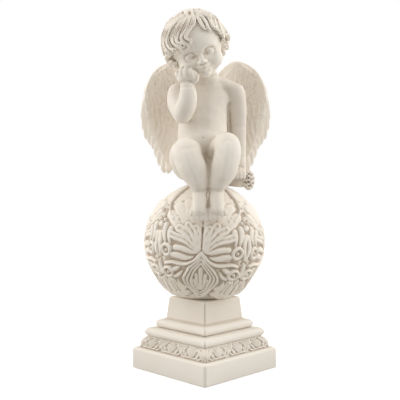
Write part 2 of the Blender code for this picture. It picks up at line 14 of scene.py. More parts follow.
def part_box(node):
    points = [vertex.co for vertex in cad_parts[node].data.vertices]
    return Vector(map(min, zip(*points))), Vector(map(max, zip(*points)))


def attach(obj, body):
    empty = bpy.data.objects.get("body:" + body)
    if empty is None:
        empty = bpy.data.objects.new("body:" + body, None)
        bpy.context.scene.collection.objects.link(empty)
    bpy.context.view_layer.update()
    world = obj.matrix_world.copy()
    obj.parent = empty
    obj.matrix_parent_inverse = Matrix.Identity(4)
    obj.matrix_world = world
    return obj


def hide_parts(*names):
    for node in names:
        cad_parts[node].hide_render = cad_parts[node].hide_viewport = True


FRONT = Vector((0, -1, 0))

# Globe, as in the solids, and the figure's height in its own measure
GLOBE_RADIUS = 0.101
BED_RADIUS = 0.034
SEAT_LIFT = 0.003
CARVED_HEIGHT = 287.0

# Grain of the fused skins
BODY_GRAIN = 0.0020
DETAIL_GRAIN = 0.0011
HEAD_GRAIN = 0.0016
HAIR_GRAIN = 0.00072
WING_GRAIN = 0.00092

# Triangles left on each piece
BODY_TRIANGLES = 130000
HEAD_TRIANGLES = 190000
WING_TRIANGLES = 95000
GLOBE_TRIANGLES = 190000

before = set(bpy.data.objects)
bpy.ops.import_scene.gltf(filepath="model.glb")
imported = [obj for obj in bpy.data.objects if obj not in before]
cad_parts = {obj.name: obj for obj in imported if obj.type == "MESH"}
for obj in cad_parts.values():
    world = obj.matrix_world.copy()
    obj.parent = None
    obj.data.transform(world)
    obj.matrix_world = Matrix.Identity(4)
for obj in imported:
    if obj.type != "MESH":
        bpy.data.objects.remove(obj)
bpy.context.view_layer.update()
GLOBE_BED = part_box("cherub_on_globe")[0].z
FIGURE_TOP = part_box("cherub_on_globe")[1].z
PLINTH_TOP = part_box("plinth")[1].z
GLOBE_CENTRE = Vector((0, 0, GLOBE_BED + math.sqrt(GLOBE_RADIUS**2 - BED_RADIUS**2)))
SEAT = GLOBE_CENTRE + Vector((0, 0, GLOBE_RADIUS + SEAT_LIFT))
UNIT = (FIGURE_TOP - SEAT.z) / CARVED_HEIGHT


# Clay: closed lumps of mesh, laid over each other and fused later


def smooth_path(points, steps):
    """Points along a Catmull-Rom curve. Each point may carry radii after its x, y, z."""
    rows = [tuple(p) for p in points]
    padded = [rows[0]] + rows + [rows[-1]]
    path = []
    for a, b, c, d in zip(padded, padded[1:], padded[2:], padded[3:]):
        for step in range(steps):
            t = step / steps
            path.append(
                [
                    0.5 * (2 * q + (r - p) * t + (2 * p - 5 * q + 4 * r - s) * t * t
                           + (3 * q - p - 3 * r + s) * t**3)
                    for p, q, r, s in zip(a, b, c, d)
                ]
            )
    path.append(list(rows[-1]))
    return path


def tube(bm, spine, widths, depths, facing, sides=12):
    """A closed tube along the spine. widths are its half widths, depths its half thickness towards facing."""
    rings = []
    last = len(spine) - 1
    for i, centre in enumerate(spine):
        along = (spine[min(i + 1, last)] - spine[max(i - 1, 0)]).normalized()
        towards = facing(centre) if callable(facing) else facing
        across = along.cross(towards).normalized()
        out = across.cross(along)
        ring = []
        for k in range(sides):
            angle = math.tau * k / sides
            offset = across * (widths[i] * math.cos(angle)) + out * (depths[i] * math.sin(angle))
            ring.append(bm.verts.new(centre + offset))
        rings.append(ring)
    for near, far in zip(rings, rings[1:]):
        for k in range(sides):
            j = (k + 1) % sides
            bm.faces.new((near[k], near[j], far[j], far[k]))
    bm.faces.new(rings[0][::-1])
    bm.faces.new(rings[-1])


def limb(bm, joints, steps=6, sides=20):
    """A rounded limb through joints of (x, y, z, radius)."""
    path = smooth_path(joints, steps)
    spine = [Vector(p[:3]) for p in path]
    radii = [p[3] for p in path]
    for _ in ("end", "start"):
        spine.reverse()
        radii.reverse()
        end, radius = spine[-1], radii[-1]
        outward = (end - spine[-2]).normalized()
        for angle in (30, 55, 75):
            spine.append(end + outward * (radius * math.sin(math.radians(angle))))
            radii.append(radius * math.cos(math.radians(angle)))
    along = spine[-1] - spine[0]
    facing = Vector((0, 0, 1)) if abs(along.normalized().z) < 0.8 else Vector((0, 1, 0))
    tube(bm, spine, radii, radii, facing, sides)


def lump(bm, centre, radii, turn=None):
    """An ellipsoid."""
    shape = Matrix.Translation(centre) @ (turn or Matrix()) @ Matrix.Diagonal((*radii, 1))
    bmesh.ops.create_icosphere(bm, subdivisions=4, radius=1, matrix=shape)


def blade(bm, path, width, thickness, facing, sides=12, root=0.45, belly=0.62):
    """A feather along the path: narrow at its root, widest at belly, round at its tip."""
    count = len(path) - 1
    widths = []
    for i in range(count + 1):
        t = i / count
        if t < belly:
            share = root + (1 - root) * math.sin(0.5 * math.pi * t / belly)
        else:
            share = math.sqrt(max(0.0, 1 - ((t - belly) / (1.02 - belly)) ** 2))
        widths.append(width * max(share, 0.12))
    depths = [thickness * (0.35 + 0.65 * min(1.0, w / width)) for w in widths]
    tube(bm, path, widths, depths, facing, sides)


def sheet(bm, front, back):
    """A closed slab between two equal grids of points."""
    rows, columns = len(front), len(front[0])
    layers = [[[bm.verts.new(p) for p in row] for row in grid] for grid in (front, back)]
    rim = [(0, j) for j in range(columns)] + [(i, columns - 1) for i in range(1, rows)]
    rim += [(rows - 1, j) for j in range(columns - 2, -1, -1)] + [(i, 0) for i in range(rows - 2, 0, -1)]
    for grid in layers:
        for i in range(rows - 1):
            for j in range(columns - 1):
                bm.faces.new((grid[i][j], grid[i][j + 1], grid[i + 1][j + 1], grid[i + 1][j]))
    for (a, b), (c, d) in zip(rim, rim[1:] + rim[:1]):
        bm.faces.new((layers[0][a][b], layers[0][c][d], layers[1][c][d], layers[1][a][b]))


def new_object(name, mesh):
    obj = bpy.data.objects.new(name, mesh)
    bpy.context.scene.collection.objects.link(obj)
    return obj


def mesh_from(bm, name):
    mesh = bpy.data.meshes.new(name)
    bmesh.ops.recalc_face_normals(bm, faces=bm.faces)
    bm.to_mesh(mesh)
    bm.free()
    return mesh


def applied(obj):
    """The object's mesh with its modifiers applied, and the object gone."""
    graph = bpy.context.evaluated_depsgraph_get()
    mesh = bpy.data.meshes.new_from_object(obj.evaluated_get(graph))
    bpy.data.objects.remove(obj)
    return mesh


def softened(mesh, rounds):
    """The mesh with its small steps smoothed out."""
    rough = new_object("rough", mesh)
    soften = rough.modifiers.new("Soften", "SMOOTH")
    soften.factor = 0.5
    soften.iterations = rounds
    return applied(rough)


def fused(bm, grain, rounds):
    """One softened skin over all the lumps of bm, as a mesh."""
    lumps = new_object("lumps", mesh_from(bm, "lumps"))
    skin = lumps.modifiers.new("Skin", "REMESH")
    skin.mode = "VOXEL"
    skin.voxel_size = grain
    skin.adaptivity = 0
    return softened(applied(lumps), rounds)


def started_from(mesh):
    """A bmesh that holds the mesh, which is freed."""
    bm = bmesh.new()
    bm.from_mesh(mesh)
    bpy.data.meshes.remove(mesh)
    return bm


def thinned(mesh, triangles):
    """The mesh with about that many triangles at most."""
    count = sum(len(p.vertices) - 2 for p in mesh.polygons)
    if count <= triangles:
        return mesh
    obj = new_object("thinning", mesh)
    thin = obj.modifiers.new("Thin", "DECIMATE")
    thin.ratio = triangles / count
    return applied(obj)


# Carving tools: they move the vertices of a skin


def coordinates(mesh):
    co = np.empty(len(mesh.vertices) * 3, np.float32)
    mesh.vertices.foreach_get("co", co)
    return co.reshape(-1, 3).astype(float)


def normals_of(mesh):
    out = np.empty(len(mesh.vertices) * 3, np.float32)
    mesh.vertices.foreach_get("normal", out)
    return out.reshape(-1, 3).astype(float)


def put_back(mesh, co):
    mesh.vertices.foreach_set("co", co.astype(np.float32).ravel())
    mesh.update()


def carve(mesh, strokes, reach=0.0):
    """Moves the skin along its normals. Each stroke is (points, radius, height): a ridge if height is over 0,
    a groove if it is under 0, fading to nothing at radius from the line through the points. A point within
    reach of the skin is first moved onto it."""
    co, normal = coordinates(mesh), normals_of(mesh)
    tree = kdtree.KDTree(len(co) if reach else 0)
    if reach:
        for i, p in enumerate(co):
            tree.insert(p, i)
    tree.balance()
    move = np.zeros(len(co))
    for points, radius, height in strokes:
        line = np.array([tuple(p) for p in points], float)
        if reach:
            found = [tree.find(p) for p in points]
            line = np.array([tuple(f[0] if f[2] < reach else p) for f, p in zip(found, points)], float)
        low, high = line.min(0) - radius, line.max(0) + radius
        near = np.flatnonzero(((co >= low) & (co <= high)).all(1))
        if not len(near):
            continue
        distance = distance_to_line(co[near], line)[0]
        share = np.clip(1 - (distance / radius) ** 2, 0, None) ** 2
        move[near] += height * share
    put_back(mesh, co + normal * move[:, None])


def distance_to_line(points, line):
    """(distance, share of the way along) from each point to a line of straight pieces."""
    best = np.full(len(points), np.inf)
    along = np.zeros(len(points))
    count = max(1, len(line) - 1)
    if len(line) == 1:
        return np.linalg.norm(points - line[0], axis=1), along
    for i in range(count):
        a, b = line[i], line[i + 1]
        step = b - a
        t = np.clip((points - a) @ step / max(step @ step, 1e-12), 0, 1)
        distance = np.linalg.norm(points - a - t[:, None] * step, axis=1)
        closer = distance < best
        best[closer] = distance[closer]
        along[closer] = (i + t[closer]) / count
    return best, along


# Figure


def figure_point(x, y, z):
    """A point of the figure, whose own zero is the globe's crown."""
    return SEAT + Vector((x, y, z)) * UNIT


def figure_joints(rows):
    """Rows of x, y, z, radius in the figure's own measure, as joints for limb()."""
    return [(*figure_point(x, y, z), radius * UNIT) for x, y, z, radius in rows]


def figure_lump(bm, centre, radii):
    lump(bm, figure_point(*centre), [r * UNIT for r in radii])


def stroke(place, points, radius, height):
    """A stroke for carve() through points of the figure or the head; place sets them in the world."""
    path = smooth_path(points, 4) if len(points) > 2 else points
    return [place(*p) for p in path], radius * UNIT, height * UNIT


def sided(rows, side):
    """Rows that start with x, turned to one side."""
    return [(row[0] * side, *row[1:]) for row in rows]


HEAD_CENTRE = (-10, -15, 208)
HEAD_ROLL = math.radians(-18)
HEAD_NOD = math.radians(16)
HEAD_TURN = Matrix.Rotation(HEAD_ROLL, 4, "Y") @ Matrix.Rotation(HEAD_NOD, 4, "X")


def head_point(x, y, z):
    """A point of the head: x to the viewer's right, y forward, z up, from between the ears."""
    return figure_point(*HEAD_CENTRE) + HEAD_TURN.to_3x3() @ (Vector((x, -y, z)) * UNIT)


def head_lump(bm, centre, radii):
    lump(bm, head_point(*centre), [r * UNIT for r in radii], HEAD_TURN)


def head_limb(bm, rows, sides=10):
    limb(bm, [(*head_point(x, y, z), r * UNIT) for x, y, z, r in rows], 4, sides)


# The trunk from the seat to the neck: centre x, y and z, half width and half depth
TRUNK = [
    (-1, 10, 2, 34, 24), (-2, 9, 16, 48, 35), (-2, 7, 36, 48, 37), (-3, -1, 64, 43, 38), (-3, 0, 96, 41, 34),
    (-1, 3, 124, 41, 30), (3, 5, 144, 42, 25), (4, 5, 160, 30, 20), (2, 2, 174, 21, 18),
    (-3, -4, 192, 20, 18),
]
SHOULDERS = [(-45, 4, 147, 15), (-20, 5, 157, 15), (4, 6, 162, 15), (30, 7, 158, 15), (52, 7, 149, 15)]


def torso(bm):
    path = smooth_path(TRUNK, 4)
    spine = [figure_point(*p[:3]) for p in path]
    tube(bm, spine, [p[3] * UNIT for p in path], [p[4] * UNIT for p in path], FRONT, 32)
    limb(bm, figure_joints(SHOULDERS))
    for side in (-1, 1):
        figure_lump(bm, (20 * side, -6, 124), (17, 14, 15))
        figure_lump(bm, (23 * side, 24, 20), (25, 20, 24))
        figure_lump(bm, (22 * side, 22, 128), (17, 12, 20))
    figure_lump(bm, (-3, -17, 62), (34, 27, 29))
    figure_lump(bm, (-2, 2, 8), (30, 26, 14))


# Joints of the legs and arms: x, y, z and radius
LEGS = {
    -1: [(-25, 4, 26, 31), (-30, -34, 36, 29), (-29, -64, 41, 24), (-26, -78, 29, 23.5), (-18, -84, 12, 22.5),
         (-11, -88, -6, 16.5), (-8, -88, -19, 12)],
    1: [(25, 4, 26, 31), (31, -34, 44, 26), (35, -62, 53, 22), (36.5, -76, 42, 21.5), (33.5, -82, 27, 21.5),
        (29, -85, 11, 21), (22, -88, -6, 16), (18, -88, -18, 12)],
}
RESTING_ARM = [(53, 7, 147, 17), (57, 11, 120, 15.5), (58, 15, 90, 14), (59, 14, 62, 13), (61, 9, 38, 10.5),
               (62, 3, 24, 9)]
PROPPED_UPPER = [(-46, 4, 147, 17), (-46, -14, 128, 17), (-38, -38, 107, 15.5)]
PROPPED_FOREARM = [(-36, -41, 105, 15.5), (-29, -48, 121, 16), (-27, -48, 138, 14.5), (-29, -44, 154, 11.5)]


def foot(bm, side):
    """A plump foot pointing down the front of the globe from the ankle, with its five toes."""
    x, y, z, _ = LEGS[side][-1]
    figure_lump(bm, (x, y + 9, z - 6), (10, 11, 10))
    sole = [(x, y + 2, z - 4, 11.5), (x, y - 6, z - 16, 11.5), (x + side, y - 13, z - 30, 10.5)]
    limb(bm, figure_joints(sole))
    for i in range(5):
        size = 5.4 - 0.5 * i
        across = side * (4.9 * i - 8.6)
        reach = 12 - 1.7 * i
        root = (x + across + side, y - 13 + 1.2 * abs(i - 1.5), z - 31, size)
        tip = (x + across * 1.12 + side, y - 16 + 1.2 * abs(i - 1.5), z - 32 - reach, size * 0.95)
        limb(bm, figure_joints([root, tip]), steps=3, sides=12)


def resting_hand(bm):
    """The straight arm's hand, flat on the seat beside the hip."""
    figure_lump(bm, (58, 4, 15), (10, 13, 8))
    for i in range(4):
        across = -7 + 5 * i
        reach = 4 - 2 * abs(i - 1.5)
        rows = [(57 + across, -2, 14, 4.4), (57 + across * 1.1, -11 - reach, 10, 4.0),
                (57 + across * 1.1, -15 - reach, 3, 3.4)]
        limb(bm, figure_joints(rows), steps=3, sides=10)


# Joints of the propping hand's fingers, the thumb last
PROPPING_FINGERS = [
    [(-38, -44, 161, 4.6), (-44, -42, 169, 4.4), (-43, -36, 177, 4.0), (-38, -32, 181, 3.4)],
    [(-34, -49, 162, 4.6), (-38, -50, 171, 4.4), (-37, -44, 179, 4.0), (-33, -39, 183, 3.4)],
    [(-27, -53, 163, 4.6), (-31, -55, 172, 4.4), (-30, -50, 179, 3.8)],
    [(-20, -54, 163, 4.6), (-23, -57, 171, 4.2), (-23, -52, 177, 3.6)],
    [(-20, -48, 156, 5.2), (-14, -51, 161, 4.4), (-12, -52, 167, 3.6)],
]


def propping_hand(bm):
    """The hand under the jaw: its palm against the cheek, its fingers curled up beside it."""
    figure_lump(bm, (-30, -45, 163), (14.5, 11, 10))
    figure_lump(bm, (-22, -50, 168), (11, 9, 9))
    for rows in PROPPING_FINGERS:
        limb(bm, figure_joints(rows), steps=4, sides=12)


# The quiver's oval mouth: its middle, how far its knobs spread, how far it bulges and how it is turned. Rings
# of knobs and of the pits between them: share of the way out, count, and shift in parts of one step
MOUTH_CENTRE = Vector((75, -9.5, -1.5))
MOUTH_REACH = (8.2, 14.8)
MOUTH_BULGE = 3.6
MOUTH_TURN = Matrix.Rotation(math.radians(12), 4, "Z")
KNOB_RINGS = ((0, 1, 0), (0.46, 5, 0.46), (0.86, 10, 0.86))
PIT_RINGS = ((0.25, 4, 0.2), (0.66, 9, 0.3), (0.9, 10, 0.36))


def mouth_places(rings):
    """Places on the quiver's mouth, spread round its rings."""
    places = []
    for share, count, shift in rings:
        for k in range(count):
            angle = math.tau * (k + shift) / count
            across, up = MOUTH_REACH[0] * share * math.cos(angle), MOUTH_REACH[1] * share * math.sin(angle)
            spot = Vector((across, MOUTH_BULGE * share * share, up))
            places.append(MOUTH_CENTRE + MOUTH_TURN.to_3x3() @ spot)
    return places


def quiver(bm):
    """The little quiver that the cherub sits on, its knobbly mouth at the viewer's right."""
    limb(bm, figure_joints([(-8, 44, 4, 10), (24, 25, 4, 13.5), (64, 6, -1, 13)]))
    lump(bm, figure_point(75, -2, -1.5), [r * UNIT for r in (10.5, 9, 17.5)], MOUTH_TURN)
    for place in mouth_places(KNOB_RINGS):
        figure_lump(bm, place, (2.9, 4.2, 2.9))


# Creases and soft hollows of a plump child's body: points, radius and height
BODY_STROKES = [
    ([(-3, -44, 66), (-3, -44, 66)], 4, -1.4),
    ([(-38, -26, 40), (-20, -38, 33), (-3, -42, 31), (16, -38, 34), (34, -26, 42)], 8, -1.6),
    ([(-36, -22, 96), (-20, -34, 92), (-3, -36, 91), (14, -34, 93), (30, -24, 97)], 14, -0.9),
    ([(-3, -36, 88), (-3, -33, 118), (-1, -28, 148)], 13, -1.1),
    ([(6, -30, 112), (18, -30, 109), (30, -24, 113), (36, -16, 122)], 11, -0.8),
    ([(-36, -20, 116), (-26, -28, 110), (-12, -30, 112)], 11, -0.8),
    ([(6, -18, 155), (22, -16, 158), (40, -8, 160)], 7, 0.8),
    ([(6, -18, 148), (22, -18, 150), (38, -12, 151)], 10, -0.7),
    ([(-3, -18, 160), (2, -19, 156), (8, -17, 160)], 7, -0.7),
    ([(0, 42, 30), (-1, 34, 90), (1, 33, 140)], 9, -2.6),
    ([(0, 46, 6), (0, 44, 26)], 7, -3.4),
    ([(-30, 34, 8), (-6, 38, 3)], 6, -2.5),
    ([(30, 34, 8), (6, 38, 3)], 6, -2.5),
    ([(-19, -12, 176), (2, -17, 171), (20, -8, 176)], 4, -1.6),
    ([(40, -2, 128), (40, -4, 112)], 6, -1.6),
    ([(46, -2, 40), (60, -6, 39), (70, 4, 40)], 3.6, -0.9),
    ([(52, 2, 92), (58, -2, 90), (66, 4, 92)], 6, -0.7),
    ([(-40, -46, 148), (-28, -58, 147), (-16, -46, 148)], 3.4, -1.0),
    ([(-44, -76, 50), (-30, -96, 44), (-16, -78, 50)], 6, -0.9),
    ([(-30, -96, 40), (-22, -104, 16), (-13, -104, -6)], 9, 1.3),
    ([(36, -96, 54), (33, -102, 28), (28, -102, 4)], 9, 1.3),
    ([(-44, -84, 30), (-36, -94, 24)], 8, -1.0),
    ([(24, -84, 46), (28, -92, 36)], 8, -1.0),
]


def body_strokes():
    rows = BODY_STROKES + [([place, place], 2.3, -3.4) for place in mouth_places(PIT_RINGS)]
    for side in (-1, 1):
        x, y, z, r = LEGS[side][-1]
        rows.append(([(x - r, y, z + 3), (x, y - r, z), (x + r, y, z + 3)], 4.5, -0.9))
    return [stroke(figure_point, *row) for row in rows]


def cherub_body():
    clay = bmesh.new()
    torso(clay)
    for rows in LEGS.values():
        limb(clay, figure_joints(rows))
    for rows in (RESTING_ARM, PROPPED_UPPER, PROPPED_FOREARM):
        limb(clay, figure_joints(rows))
    soft = started_from(fused(clay, BODY_GRAIN, 12))
    for side in (-1, 1):
        foot(soft, side)
    resting_hand(soft)
    propping_hand(soft)
    quiver(soft)
    skin = fused(soft, DETAIL_GRAIN, 3)
    carve(skin, body_strokes(), reach=0.02)
    return new_object("cherub_body", thinned(skin, BODY_TRIANGLES))


def head_mass(bm):
    """A calm child's head in broad forms: cranium, full cheeks, brow and chin."""
    head_lump(bm, (0, -6, 22), (46, 52, 46))
    head_lump(bm, (0, 10, -4), (37.5, 33, 32))
    head_lump(bm, (0, 31, 17), (27, 12.5, 13))
    for side in (-1, 1):
        head_lump(bm, (19 * side, 20, -10), (18, 19, 17))
        head_lump(bm, (16 * side, 30, 15), (15, 9, 7))
    head_lump(bm, (0, 28, -28), (12, 12, 10))
    head_lump(bm, (0, 31, -17), (15, 13, 12))


def nose_and_eyes(bm):
    """The nose and chin, then the eyes and ears."""
    head_limb(bm, [(0, 36.5, 9, 4.0), (0, 40.5, 2, 3.8), (0, 44.5, -5, 4.6)])
    head_lump(bm, (0, 45.6, -7.5), (5.6, 5.2, 4.8))
    head_lump(bm, (0, 38, -30), (8, 5, 6))
    ear = [(41, 4, -1, 2.0), (45, 4, 9, 2.4), (47, -4, 14, 2.6), (47, -12, 8, 2.4), (44, -9, -4, 2.2),
           (42, -2, -10, 3.0)]
    for side in (-1, 1):
        head_lump(bm, (4.8 * side, 42, -9), (3.8, 4.2, 3.3))
        head_lump(bm, (15.5 * side, 30.4, 3.5), (8.8, 7.6, 6.8))
        head_lump(bm, (42 * side, -4, 1), (4, 8, 11))
        head_limb(bm, sided(ear, side))


def lids_and_lips(bm):
    head_limb(bm, [(-9.6, 37.6, -18.2, 1.3), (-4.6, 41.2, -17.5, 2.6), (-1.6, 42.6, -16.5, 2.9),
                   (1.6, 42.6, -16.5, 2.9), (4.6, 41.2, -17.5, 2.6), (9.6, 37.6, -18.2, 1.3)], sides=14)
    head_limb(bm, [(-7.4, 38.0, -20.6, 2.0), (0, 40.4, -22.0, 3.7), (7.4, 38.0, -20.6, 2.0)], sides=14)
    upper = [(7.6, 36.0, 1.8, 0.9), (10.8, 37.6, 5.4, 1.2), (15.6, 38.2, 7.0, 1.4), (20.4, 36.0, 5.6, 1.3),
             (23.8, 32.4, 2.2, 0.9)]
    lower = [(7.6, 36.0, 1.8, 0.8), (11, 37.3, -0.9, 1.0), (16, 37.2, -2.0, 1.1), (20.8, 35.2, -0.8, 1.0),
             (23.8, 32.4, 2.2, 0.8)]
    for side in (-1, 1):
        head_limb(bm, sided(upper, side))
        head_limb(bm, sided(lower, side))


# Strokes on the middle of the head, then those on both its sides: points, radius and height
SOCKET_MIDDLE = [([(0, 42, 10), (0, 40, 7)], 6, -0.8)]
SOCKET_SIDES = [
    ([(12, 38, 4), (19, 36, 3)], 12, -4.0),
    ([(8, 40, 14), (16, 40, 17), (25, 34, 13)], 7, 1.0),
]
FACE_MIDDLE = [
    ([(-9.5, 38, -18.9), (-4, 43.5, -18.9), (0, 44.5, -19.5), (4, 43.5, -18.9), (9.5, 38, -18.9)], 1.5, -1.5),
    ([(0, 44, -11.8), (0, 43, -14.8)], 2.2, -0.8),
    ([(-6, 39, -25.4), (0, 40, -26.2), (6, 39, -25.4)], 3.4, -1.0),
]
FACE_SIDES = [
    ([(7.8, 42, -7), (7.2, 40, -4)], 2.0, -0.6),
    ([(2.5, 46, -11.6), (3.2, 44.5, -11.4)], 1.6, -1.3),
    ([(9.5, 39, -9), (13.5, 37, -16)], 5, -0.8),
    ([(8, 37, 8.6), (15.5, 39, 10.4), (23, 34, 8)], 2.0, -0.8),
    ([(15.6, 38.0, 2.8), (15.6, 38.0, 2.8)], 2.0, -0.5),
    ([(10.8, 37, -18.4), (10.8, 37, -18.4)], 3.2, -0.7),
    ([(43, -3, 2), (45, -5, 6)], 4.5, -3.0),
]


def head_strokes(middle, sides):
    rows = list(middle)
    for side in (-1, 1):
        rows += [(sided(points, side), radius, height) for points, radius, height in sides]
    return [stroke(head_point, *row) for row in rows]


# Hair: locks laid over the scalp, each along (turn, fall) places. turn goes round from the face towards the
# viewer's right, fall goes down from the crown, both in degrees.

HAIR_CENTRE = (0, -8, 22)
HAIR_RADII = (45, 51, 47)

# Families of locks, from the crown: the first and the last path, how many locks, a strand's half width, its
# lift, its wave in degrees, and how its end curls (1 to the left of its course, -1 to the right)
HAIR_FAMILIES = [
    # the fringe, swept to the left and curled back under
    (((178, 30), (20, 28), (17, 44), (12, 56), (-2, 66), (-12, 74), (-6, 80)),
     ((190, 31), (0, 18), (-26, 36), (-46, 55), (-52, 70), (-46, 82), (-34, 88)), 4, 1.3, 8.0, 0.6, 1),
    # the left temple
    (((190, 31), (-3, 18), (-29, 36), (-49, 55), (-55, 71), (-49, 84), (-38, 92)),
     ((200, 33), (-54, 16), (-80, 36), (-94, 58), (-95, 76), (-90, 89), (-99, 96)), 4, 1.3, 9.5, 1.2, 1),
    # the left side, down to the ear
    (((202, 34), (-76, 18), (-94, 38), (-106, 60), (-103, 84), (-92, 98)),
     ((212, 38), (-112, 26), (-124, 44), (-129, 66), (-122, 90), (-112, 110)), 3, 1.4, 10.5, 2.0, -1),
    # the smooth tuft over the forehead
    (((176, 30), (24, 28), (21, 44), (17, 56), (19, 67)),
     ((172, 30), (36, 24), (40, 40), (40, 54), (35, 68)), 2, 1.25, 7.0, 0.6, -1),
    # the right temple
    (((171, 31), (35, 24), (41, 40), (43, 54), (37, 69), (42, 77)),
     ((160, 33), (80, 24), (93, 44), (96, 66), (78, 84), (70, 97)), 4, 1.45, 8.6, 1.2, -1),
    # the right side
    (((158, 34), (86, 24), (102, 44), (108, 68), (94, 88), (85, 103)),
     ((150, 38), (112, 28), (128, 48), (132, 72), (126, 98), (118, 108)), 3, 1.5, 12.0, 2.4, 1),
    # the back, from the whorl down, then two tiers under it
    (((160, 33), (132, 42), (118, 60), (112, 80)), ((179, 37), (176, 52), (178, 70), (176, 88)),
     5, 1.6, 7.0, 2.4, 1),
    (((181, 37), (186, 52), (184, 70), (186, 88)), ((202, 33), (230, 42), (242, 60), (248, 80)),
     5, 1.6, 7.0, 2.4, 1),
    (((108, 62), (106, 76), (110, 90), (106, 106)), ((252, 62), (254, 76), (250, 90), (254, 106)),
     11, 1.65, 9.0, 2.4, -1),
    (((106, 90), (104, 104), (108, 118), (104, 132)), ((254, 90), (256, 104), (252, 118), (256, 132)),
     10, 1.65, 7.5, 2.4, 1),
]

# Strands in a lock. Each lock and each strand has its own share of the lift and its own reach in degrees, and
# each strand's end curls through its own number of turns. Strands of FILL_RISE fill the gaps between them.
STRANDS = 3
LOCK_RISES = (1.0, 0.84, 0.93, 0.8)
STRAND_RISES = (1.0, 1.04, 0.98)
LOCK_REACH = (0.0, 5.0, -3.0)
STRAND_REACH = (0, 2.5, -1.5)
END_TURNS = (3, 4, 2)
END_STEP = math.radians(2.8)
FILL_RISE = 0.72

# Valleys carved between strands and, deeper, between locks
VALLEY_RADIUS = 1.8
STRAND_VALLEY = -1.1
LOCK_VALLEY = -1.8

# Where the hair whorls, and the fall at which the broad strands under the rest end: over the face, elsewhere
WHORL = (180, 30)
CROWN_OVER_FACE = 46
CROWN_ELSEWHERE = 68

# Small curls by the ears: place, radius in degrees, half width, lift and the hand of the spiral
CURL_TURNS = 1.35
CURL_STEPS = 21
CURLS = [
    (65, 99, 6.0, 2.0, 7.0, 1),
    (-66, 92, 6.5, 2.3, 8.0, 1), (-80, 101, 7.0, 2.4, 10.0, -1), (-72, 112, 6.5, 2.3, 8.0, 1),
    (-93, 112, 7.0, 2.4, 10.0, 1), (-84, 124, 6.0, 2.2, 7.0, -1), (-105, 125, 6.5, 2.4, 8.0, -1),
    (77, 90, 7.0, 2.4, 9.0, -1), (90, 100, 7.5, 2.4, 12.0, 1), (82, 111, 6.5, 2.3, 9.0, -1),
    (98, 115, 7.0, 2.4, 11.0, -1), (90, 127, 6.0, 2.2, 7.0, 1), (110, 124, 6.5, 2.4, 8.0, 1),
]


def way(turn, fall):
    """The direction of a place on the scalp, as seen from the middle of the head."""
    a, b = math.radians(turn), math.radians(fall)
    return Vector((math.sin(b) * math.sin(a), math.sin(b) * math.cos(a), math.cos(b)))


def scalp_point(direction, lift):
    return head_point(*[c + (r + lift) * d for c, r, d in zip(HAIR_CENTRE, HAIR_RADII, direction)])


def flowing(places, wave, hand, turns, step=0.0):
    """Directions along a strand through (turn, fall) places, waved, its end curled round in some turns."""
    ways = [way(*p) for p in places]
    heading = ways[-1] - ways[-2]
    for i in range(turns):
        here = ways[-1]
        heading = heading - here * heading.dot(here)
        heading = Matrix.Rotation(hand * math.radians(46 + 8 * i), 3, here) @ heading.normalized()
        ways.append((here + heading * step).normalized())
        step *= 0.85
    path = [Vector(p).normalized() for p in smooth_path(ways, 6)]
    count = len(path) - 1
    waved = []
    for i, here in enumerate(path):
        along = path[min(i + 1, count)] - path[max(i - 1, 0)]
        across = along.cross(here).normalized()
        sway = math.radians(wave) * math.sin(math.tau * 1.6 * i / count) * min(1.0, 3 * i / count)
        waved.append((here + across * sway).normalized())
    return waved


def rise_of(t):
    """Share of its lift that a strand has along its length: low at its root, high past its middle."""
    return 0.25 + 0.75 * math.sin(math.pi * min(1.0, 0.05 + 0.78 * t))


def strand(bm, path, width, lift, root=0.6, crest=1.8):
    """One ridge of hair along directions, highest past its middle and fine at its tip."""
    count = len(path) - 1
    centre = head_point(*HAIR_CENTRE)
    spine, widths = [], []
    for i, here in enumerate(path):
        t = i / count
        spine.append(scalp_point(here, lift * rise_of(t)))
        if t < 0.5:
            share = root + (1 - root) * math.sin(math.pi * t)
        else:
            share = 1 - 0.74 * ((t - 0.5) / 0.5) ** 1.8
        widths.append(width * share * UNIT)
    tube(bm, spine, widths, [crest * w for w in widths], lambda p: (p - centre).normalized(), 10)


def lay_crown(bm):
    """Broad low strands from the whorl outward, under the others."""
    whorl = way(*WHORL)
    for turn in range(-180, 180, 20):
        rim = way(turn, CROWN_OVER_FACE if abs(turn) < 45 else CROWN_ELSEWHERE)
        strand(bm, [whorl.lerp(rim, k / 8).normalized() for k in range(9)], 6.0, 4.2, root=1.0, crest=0.6)


def lay_curls(bm):
    for turn, fall, radius, width, lift, hand in CURLS:
        here = way(turn, fall)
        side = Vector((0, 0, 1)).cross(here).normalized()
        path = []
        for i in range(CURL_STEPS + 1):
            angle = hand * math.tau * CURL_TURNS * i / CURL_STEPS + turn
            reach = math.radians(radius) * (1 - 0.7 * i / CURL_STEPS)
            offset = side * math.cos(angle) + here.cross(side) * math.sin(angle)
            path.append((here + offset * reach).normalized())
        strand(bm, path, width, lift, root=0.9)


